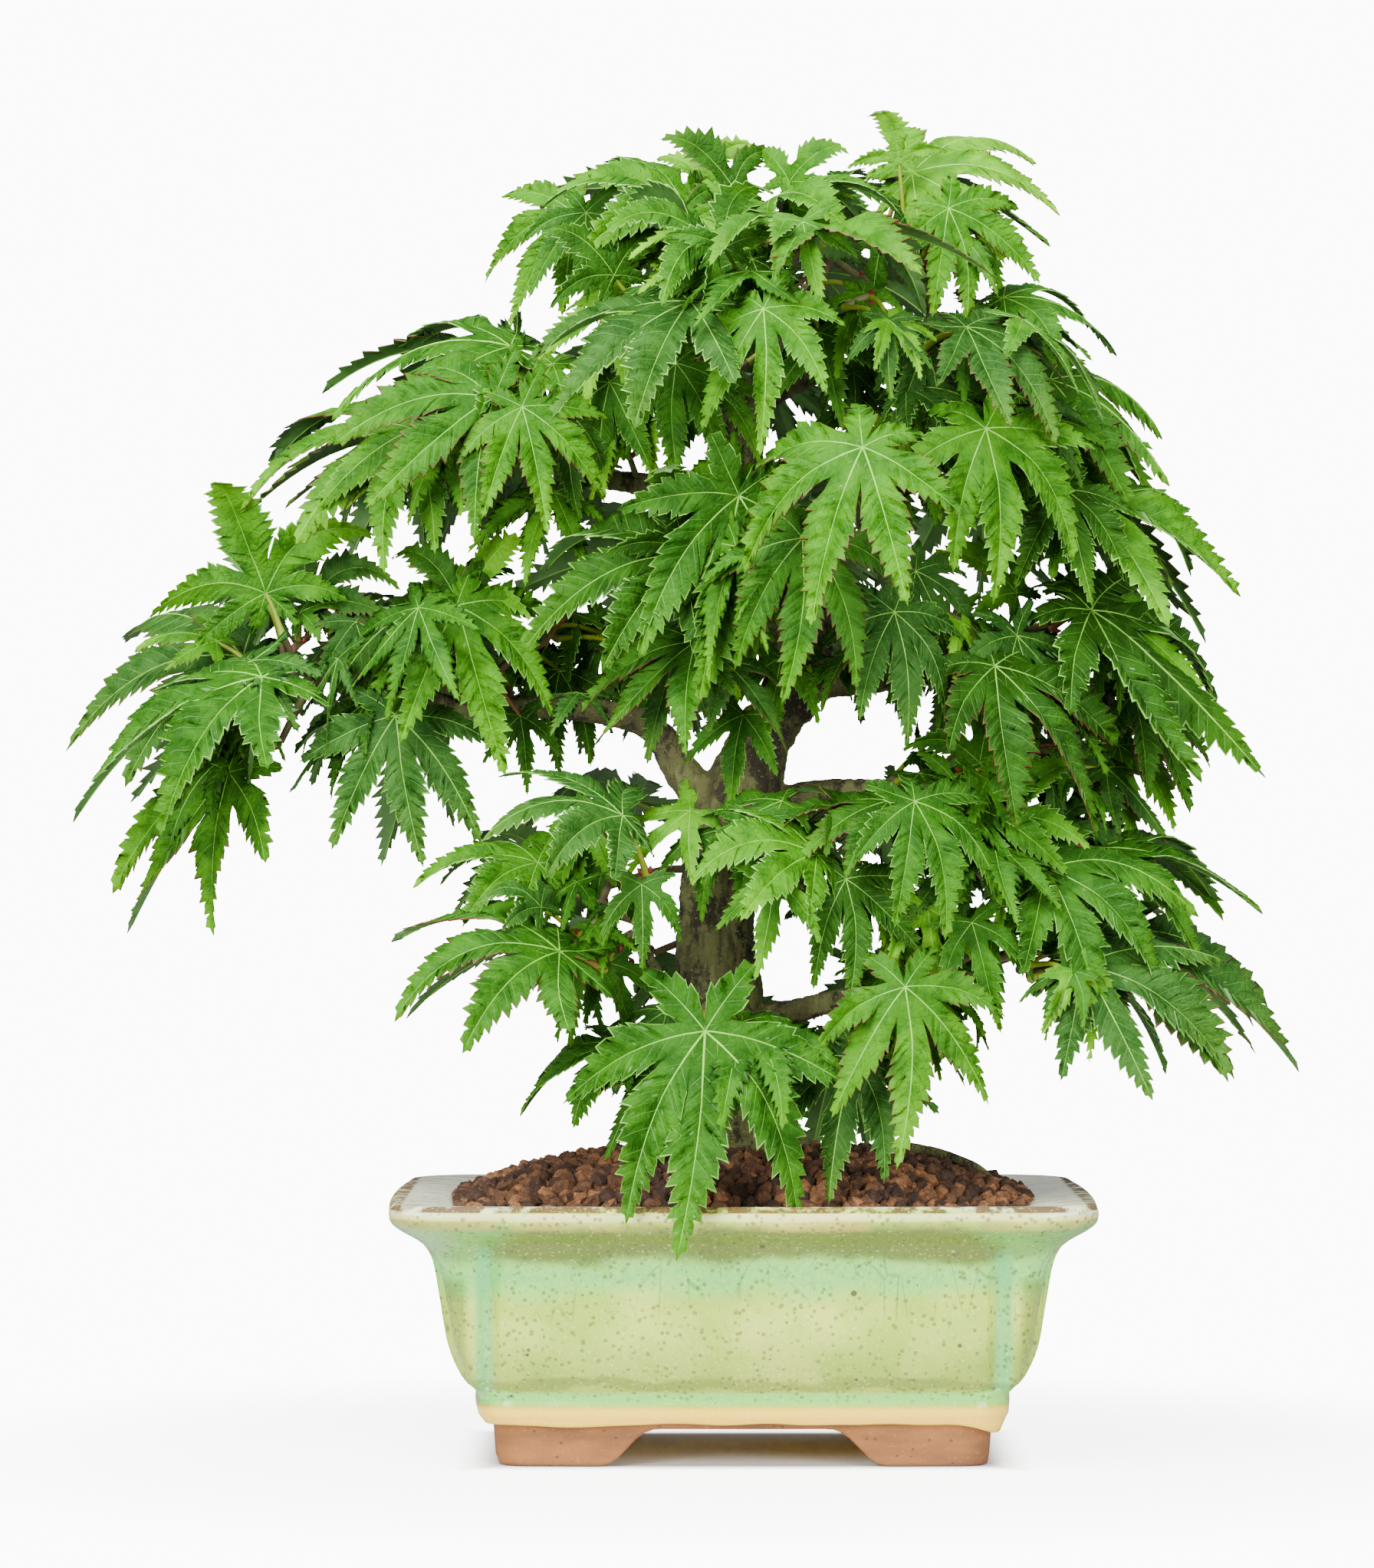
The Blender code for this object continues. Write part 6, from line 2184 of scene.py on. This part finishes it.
    def rim(self, leaf: Leaf) -> Array:
        """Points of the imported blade's outline: the tips, waists and sinuses of its lobes.

        Args:
            leaf: The leaf.

        Returns:
            The points.
        """
        small = leaf.span < self.form.small_span
        lobes = self.form.packed_small if small else self.form.packed_large
        polars = [(length, angle) for angle, length in lobes]
        polars += [(self.form.packed_waist, (a[0] + b[0]) / 2) for a, b in zip(lobes, lobes[1:])]
        return self.form.drape(leaf, np.array([polar(*p) for p in polars]), self.form.droop_steps)

    def hold(self, mass: Mass, leaf: Leaf) -> bool:
        """Turns a leaf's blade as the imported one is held.

        Args:
            mass: Its mass.
            leaf: The leaf, whose axes and hub are set.

        Returns:
            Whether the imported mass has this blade.
        """
        home = leaf.axes
        hub = leaf.hub.copy()
        for shift, lean, roll in product(self.shifts, self.leans, self.rolls):
            leaf.axes = self.turned(home, math.radians(lean), math.radians(roll))
            leaf.hub = hub + (0.0, shift, 0.0)
            points = self.rim(leaf)
            if not mass.solid.near(points[len(points) // 4], self.fit):
                continue
            if sum(mass.solid.near(p, self.fit) for p in points) >= self.fit_share * len(points):
                return True
        leaf.axes = home
        leaf.hub = hub
        return False

    def masses(self) -> list[Mass]:
        """Every mass with its stem, its twigs and its leaves held in place.

        Returns:
            The masses.
        """
        twins = self.twins()
        made = []
        for name, (limb, rows) in LEAVES.items():
            leaves = [self.leaf(row, False) for row in rows] + [self.leaf(row, True) for row in twins[name]]
            mass = Mass(name, limb, leaves, PackedMass(name))
            wanted = len(leaves)
            self.grow_stem(mass)
            self.grow_shoots(mass)
            LOG.info("%s: %d of %d leaves", name, len(mass.leaves), wanted)
            made.append(mass)
        self.near_wood = self.wood.nearest()
        packed = {mass.name: list(mass.leaves) for mass in made}
        for mass in made:
            for row in FINER_LEAVES.get(mass.name, ()):
                self.grow_finer(mass, self.leaf(row, False))
        self.thicken(made, packed)
        return made

    def grow_finer(self, mass: Mass, leaf: Leaf) -> None:
        """Grows a finer leaf's twig from the nearest twig of its mass.

        Args:
            mass: The mass.
            leaf: The leaf.
        """
        root = self.root(leaf, mass.start)
        leaf.line = self.shoot(self.joint(mass, root), root, leaf, 0.0)
        mass.segments += list(zip(leaf.line[:-2], leaf.line[1:-1]))
        mass.leaves.append(leaf)

    def added(self, foot: Array, heading: Array, span: float, rng: random.Random) -> Leaf:
        """A finer leaf on a petiole of its own.

        Args:
            foot: Where the petiole starts.
            heading: The way that it points.
            span: Length of the middle lobe.
            rng: Source of the small differences.

        Returns:
            The leaf, its blade sinking from the petiole's end and its face turned up and out.
        """
        hub = foot + heading * (self.partner_petiole[0] + self.partner_petiole[1] * span)
        dip = math.radians(rng.uniform(10, 70))
        axis = unit((heading[0], heading[1], 0.0)) * math.cos(dip) - UP * math.sin(dip)
        face = unit((0.012 * hub[0], -1.0 if hub[1] < 2 else 1.0, rng.uniform(0.6, 1.3)))
        normal = unit(face - axis * np.dot(face, axis))
        axes = self.turned((axis, np.cross(normal, axis), normal), 0.0, math.radians(rng.uniform(-22, 22)))
        leaf = Leaf(hub, span, hub[1] > 2, axes, True)
        leaf.line = [foot, self.petiole_end(leaf)]
        return leaf

    def fits(self, leaf: Leaf, masses: Sequence[Mass], hubs: Sequence[Array], reach: float) -> bool:
        """Whether an added leaf has room.

        Args:
            leaf: The leaf.
            masses: The masses, one of which has to pass within reach of it.
            hubs: Hubs of the leaves so far.
            reach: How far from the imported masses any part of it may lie.

        Returns:
            Whether it keeps clear of the openings, the bark, the soil and the other hubs, and in the crown.
        """
        if min(norm(leaf.hub - hub) for hub in hubs) < self.hub_gap:
            return False
        flat = [polar(share * r, a) for a, r in self.form.packed_large for share in (0.4, 0.7, 1.0)]
        points = self.form.drape(leaf, np.array(flat), self.form.droop_steps)
        low, high = (np.array(corner) / MM - Shop.axis for corner in cad_box)
        if (points < low).any() or (points > high).any() or points[:, 2].min() < self.lowest:
            return False
        if any(opening.crossed(p) for opening in OPENINGS for p in points):
            return False
        for p in points:
            gap, radius = self.near_wood(p)
            if gap < radius + self.bark_gap:
                return False
        return all(any(mass.solid.near(p, reach) for mass in masses) for p in points)

    def thicken(self, masses: Sequence[Mass], packed: dict[str, list[Leaf]]) -> None:
        """Adds partners beside each packed leaf, then short shoots along the boughs.

        Args:
            masses: The masses.
            packed: The leaves that each mass was packed with.
        """
        rng = random.Random(self.seed + 5)
        hubs = [leaf.hub for mass in masses for leaf in mass.leaves]
        held = len(hubs)
        for mass in masses:
            for leaf in packed[mass.name]:
                wanted = self.partners_each + (leaf.span > self.large_leaf) - (leaf.hub[0] < self.open_side)
                for _ in range(self.partner_tries * wanted):
                    line = leaf.line
                    foot = line[-2]
                    if len(line) > 2 and rng.random() < 0.5:
                        foot = line[-3] + (line[-2] - line[-3]) * rng.uniform(0.2, 0.9)
                    ahead = unit(line[-1] - line[-2])
                    turn = rng.choice((-1, 1)) * rng.uniform(0.5, 2.4)
                    heading = unit((ahead[0] * math.cos(turn) - ahead[1] * math.sin(turn),
                                    ahead[0] * math.sin(turn) + ahead[1] * math.cos(turn)
                                    + (0.35 if leaf.twin else -0.35), 0.3 * ahead[2] + rng.uniform(-0.3, 0.6)))
                    span = float(np.clip(leaf.span * rng.uniform(*self.partner_share), *self.partner_span))
                    made = self.added(foot, heading, span, rng)
                    if self.fits(made, masses, hubs, self.partner_reach):
                        mass.leaves.append(made)
                        hubs.append(made.hub)
                        wanted -= 1
                    if wanted <= 0:
                        break
        partners = len(hubs) - held
        for name in self.wood.limbs:
            if name != "pruned_stub":
                self.clothe(name, masses, hubs, rng)
        LOG.info("added %d partners and %d shoots", partners, len(hubs) - held - partners)

    def clothe(self, name: str, masses: Sequence[Mass], hubs: list[Array], rng: random.Random) -> None:
        """Adds pairs of short shoots along the outer part of a bough.

        Args:
            name: The bough.
            masses: The masses, the first of which on this bough takes the leaves.
            hubs: Hubs of the leaves so far, which grows.
            rng: Source of the differences.
        """
        line, radii = self.wood.line(name, 8)
        owner = next((mass for mass in masses if mass.limb == name), masses[0])
        past = 0.0
        for k in range(len(line) // 3, len(line) - 1):
            past += norm(line[k + 1] - line[k])
            if past < self.shoot_gap:
                continue
            past = 0.0
            along = unit(line[k + 1] - line[k])
            for side in (1, -1):
                for _ in range(8):
                    spread = unit(np.cross(along, UP)) * side
                    heading = unit(spread + 0.6 * along + np.array((0.0, 0.0, rng.uniform(-0.3, 0.9)))
                                   + np.array([rng.uniform(-0.4, 0.4) for _ in range(3)]))
                    foot = line[k] + heading * (radii[k] + rng.uniform(2.0, 6.0))
                    made = self.added(foot, heading, rng.uniform(*self.shoot_span), rng)
                    made.line = [line[k], *made.line]
                    if self.fits(made, masses, hubs, self.shoot_reach):
                        owner.leaves.append(made)
                        hubs.append(made.hub)
                        break

    def tint(self, leaf: Leaf, rng: random.Random) -> Tint:
        """The colour of a leaf: younger and brighter towards the top and front, partly as painted light, and
        deeper inside and behind, partly as painted shade.

        Args:
            leaf: The leaf.
            rng: Source of the small differences.

        Returns:
            The colour.
        """
        # Painted light and shade: leaves higher up and nearer the front are dealt bright and young tints more
        # often, far and finer leaves deep ones.
        light = max(0.0, leaf.hub[2] / 280 - leaf.hub[1] / 90)
        young = leaf.span < self.small_leaf or leaf.hub[2] > self.young_from
        weights = {Tint.DEEP: 0.34 if leaf.twin or leaf.fine else 0.16, Tint.MID: 0.34,
                   Tint.BRIGHT: 0.14 + 0.22 * light, Tint.TEAL: 0.2, Tint.YOUNG: 0.14 * light if young else 0.0}
        return rng.choices(list(weights), list(weights.values()))[0]

    def build_blades(self, masses: Sequence[Mass]) -> None:
        """Makes every blade, joined by colour, and the ribs of the near and far leaves.

        Args:
            masses: The masses.
        """
        rng = random.Random(self.seed + 1)
        names = [mass.name for mass in masses]
        rest = [kind.finish() for kind in (Living.LEAF_UNDERSIDE, Living.LEAF_MARGIN_PALE,
                                           Living.LEAF_MARGIN_RUST)]
        veins = [kind.finish() for kind in (Living.LEAF_MIDRIBS, Living.LEAF_SIDE_VEINS)]
        blades: dict[tuple[Tint, str], list[tuple]] = {}
        ribs: dict[str, list[tuple]] = {}
        for mass in masses:
            for leaf in mass.leaves:
                form = self.fine_form if leaf.fine else self.form
                if not leaf.fine and (leaf.twin or leaf.span < self.small_leaf):
                    form = self.far_form
                made = form.build(leaf, rng)
                level = "upper" if leaf.hub[2] > self.upper_from else "lower"
                kinds = made["kinds"].copy()
                # Margins that are not dealt rust keep the painted edge highlight; rust is dealt more often
                # behind.
                rusty = leaf.twin or leaf.hub[1] > self.rust_from
                if rng.random() < self.rust_share[int(rusty)]:
                    kinds[kinds == 2] = 3
                blades.setdefault((self.tint(leaf, rng), level), []).append(
                    (made["blade"], made["faces"], kinds, made["reach"]))
                ribs.setdefault(f"{'far' if leaf.twin else 'near'}_{level}", []).append(
                    (made["veins"], made["vein_faces"], made["vein_kinds"], made["veins"][:, 0]))
        uppers = {kind: kind.finish() for kind in Tint}
        for (kind, level), parts in blades.items():
            verts, faces, slots, reach = self.join(parts)
            obj = Shop.piece(f"leaves_{kind.name.lower()}_{level}", verts, (faces,),
                             (uppers[kind], *rest), slots, True, {"reach": reach})
            Shop.hand_over(obj, "leaf", names)
        for place, parts in ribs.items():
            verts, faces, slots, _ = self.join(parts)
            obj = Shop.piece(f"leaf_veins_{place}", verts, (faces,), veins, slots)
            Shop.hand_over(obj, "leaf", names)

    @staticmethod
    def join(parts: Sequence[tuple]) -> tuple[Array, Array, Array, Array]:
        """One set of points, triangles, material numbers and reaches out of several.

        Args:
            parts: The sets.

        Returns:
            The joined set.
        """
        starts = np.cumsum([0] + [len(part[0]) for part in parts[:-1]])
        verts = np.concatenate([part[0] for part in parts])
        faces = np.concatenate([part[1] + start for part, start in zip(parts, starts)])
        slots, reaches = (np.concatenate([part[k] for part in parts]) for k in (2, 3))
        return verts, faces, slots, reaches

    def build_stems(self, masses: Sequence[Mass]) -> None:
        """Makes the stems and twigs, the petioles and the buds at their feet.

        Args:
            masses: The masses.
        """
        rng = random.Random(self.seed + 2)
        names = [mass.name for mass in masses]
        wood, green, ruddy, buds = [], [], [], []
        for mass in masses:
            line = catmull(mass.stem, 4)
            wood.append((line, np.linspace(self.stem_radius * 1.08, self.twig_ends[0], len(line))))
            for leaf in mass.leaves:
                twig = leaf.line[:-1]
                if len(twig) > 1:
                    line = catmull(twig, 5)
                    girth = 0.8 if leaf.fine else 1.0
                    wood.append((line, np.linspace(*self.twig_ends, len(line)) * girth))
                foot = twig[-1]
                hub = leaf.hub - leaf.axes[2] * 0.25
                sag = UP * 0.07 * norm(hub - foot)
                line = catmull((foot, (foot + hub) / 2 + sag, hub), 4 if leaf.fine else 6)
                swell = 1 + 0.5 * np.exp(-np.arange(len(line)) / 1.2)
                radii = np.linspace(*self.petiole_ends, len(line)) * swell * min(1.0, 0.7 + leaf.span / 120)
                (ruddy if rng.random() < self.ruddy_share else green).append((line, radii))
                if rng.random() > self.bud_share[leaf.fine]:
                    continue
                heading = unit(line[1] - line[0])
                side = unit(np.cross(heading, (0.3, 1.0, 0.2)))
                for sign in (1, -1):
                    tip = foot + heading * 1.9 + side * sign * 1.5
                    bud = [foot + side * sign * 0.4, foot + heading * 0.9 + side * sign * 1.1, tip]
                    buds.append((catmull(bud, 3), (0.34, 0.5, 0.6, 0.62, 0.48, 0.3, 0.06)))
        for name, kind, rods, sides in (("twigs", Living.YOUNG_TWIG, wood, 9),
                                        ("petioles_green", Living.PETIOLE_GREEN, green, 8),
                                        ("petioles_ruddy", Living.PETIOLE_RUDDY, ruddy, 8),
                                        ("buds", Living.BUD_RED, buds, 7)):
            lines, radii = zip(*rods)
            Shop.hand_over(Tubes(kind.finish(), sides).along(name, lines, radii), "leaf", names)

    def build(self) -> None:
        """Grows the masses and makes their pieces."""
        masses = self.masses()
        self.build_blades(masses)
        self.build_stems(masses)


@dataclass
class Studio:
    """A pale floor that fades into a white room, soft light, and the camera."""

    eye: tuple[float, float, float] = (-11.7, -1400.0, 141.6)
    lens: float = 151.0
    film: float = 36.0
    floor_radius: float = 215.0
    floor_fade: float = 70.0
    backdrop: float = 11.5
    fill: float = 0.6
    floor_glow: float = 6.0
    # Where the painted shadow round the pot's foot starts to fade and where it ends, in millimetres.
    shade: tuple[float, float] = (50.0, 62.0)

    def build_floor(self) -> None:
        """Makes the floor, see-through towards its round edge, with a painted shadow under and round the pot
        where its glow fades out.
        """
        turns = np.linspace(0, 2 * math.pi, 97)[:-1]
        ring = np.stack((np.cos(turns), np.sin(turns), np.zeros(96)), axis=1)
        rings = [ring * 0.5, ring * self.floor_radius]
        obj = Shop.piece("floor", np.concatenate(rings) - (0, 0, 0.05),
                         (skin(rings)[:, ::-1], np.arange(96)[None, :]), ())
        look = Finish("pale_floor", 0.7)
        spot = look.pot_place()
        x, y, _ = look.axes(spot)
        far = (x * x + y * y) / (self.floor_radius ** 2)
        cloud = look.noise(look.place((0.3, 1.0, 1.0)), 30.0, 4.0)
        look.feed("Base Color", look.mix(cloud, (0.80, 0.805, 0.80), (0.84, 0.845, 0.84)))
        seen = look.out("ShaderNodeLightPath", pick="Is Camera Ray")
        # Painted shadow: the glow that the camera sees fades to nothing under the pot and a few millimetres
        # round its foot.
        shadow_box = look.out("ShaderNodeMath", {"operation": "MAXIMUM"}, {0: abs(x), 1: abs(y) + 17.0})
        bright = look.mix(shadow_box.above(*self.shade), (0.0, 0.0, 0.0), (1.0, 1.0, 1.0))
        glow = look.out("ShaderNodeEmission", None, {"Color": bright, "Strength": self.floor_glow})
        plain = Socket(look, look.shader.outputs[0])
        lit = look.out("ShaderNodeAddShader", None, {0: plain, 1: glow})
        clear = look.out("ShaderNodeBsdfTransparent")
        edge = far.above((self.floor_fade / self.floor_radius) ** 2, 0.97)
        shown = look.out("ShaderNodeMixShader", None, {0: seen, 1: plain, 2: lit})
        faded = look.out("ShaderNodeMixShader", None, {0: edge, 1: shown, 2: clear})
        look.tree.links.new(faded.out, look.tree.nodes["Material Output"].inputs["Surface"])
        obj.data.materials.append(look.material)

    def light(self, name: str, place: Sequence[float], aim: Sequence[float], size: float, power: float) -> None:
        """Adds a square soft light.

        Args:
            name: Its name.
            place: Where it hangs, in millimetres.
            aim: The point that it faces.
            size: Its side, in millimetres.
            power: Its power, in watts.
        """
        data = bpy.data.lights.new(name, "AREA")
        data.shape = "SQUARE"
        data.size = size * MM
        data.energy = power
        obj = bpy.data.objects.new(name, data)
        obj.location = (np.array(place) + Shop.axis) * MM
        heading = Vector(np.array(aim, float) - np.array(place, float))
        obj.rotation_euler = heading.to_track_quat("-Z", "Y").to_euler()
        bpy.context.collection.objects.link(obj)

    def build(self) -> None:
        """Makes the room, the lights and the camera."""
        self.build_floor()
        world = bpy.data.worlds.new("white_room")
        world.use_nodes = True
        room = Graph(world.node_tree)
        seen = room.out("ShaderNodeLightPath", pick="Is Camera Ray")
        white = (1.0, 1.0, 1.0, 1.0)
        soft, bright = (room.out("ShaderNodeBackground", None, {"Color": white, "Strength": power})
                        for power in (self.fill, self.backdrop))
        mixed = room.out("ShaderNodeMixShader", None, {0: seen, 1: soft, 2: bright})
        room.tree.links.new(mixed.out, room.tree.nodes["World Output"].inputs["Surface"])
        bpy.context.scene.world = world
        self.light("overhead", (-160, -420, 800), (0, 0, 140), 420, 17.0)
        self.light("front_left", (-480, -980, 420), (0, 0, 120), 420, 15.0)
        self.light("front_right", (560, -900, 260), (0, 0, 110), 420, 10.0)
        data = bpy.data.cameras.new("view")
        data.sensor_width = self.film
        data.lens = self.lens
        camera = bpy.data.objects.new("view", data)
        camera.location = (np.array(self.eye) + Shop.axis) * MM
        camera.rotation_euler = (math.pi / 2, 0.0, 0.0)
        bpy.context.collection.objects.link(camera)
        bpy.context.scene.camera = camera


def main() -> None:
    """Builds the studio, the pot, the wood, the soil and the foliage."""
    logging.basicConfig(level=logging.INFO, format="%(message)s", stream=sys.stdout)
    Studio().build()
    wood = Wood()
    bark = wood.bark()
    pot = Pot()
    pot.build()
    Soil().build(pot, bark)
    wood.build(bark)
    Foliage(wood).build()


if __name__ == "__main__":
    main()
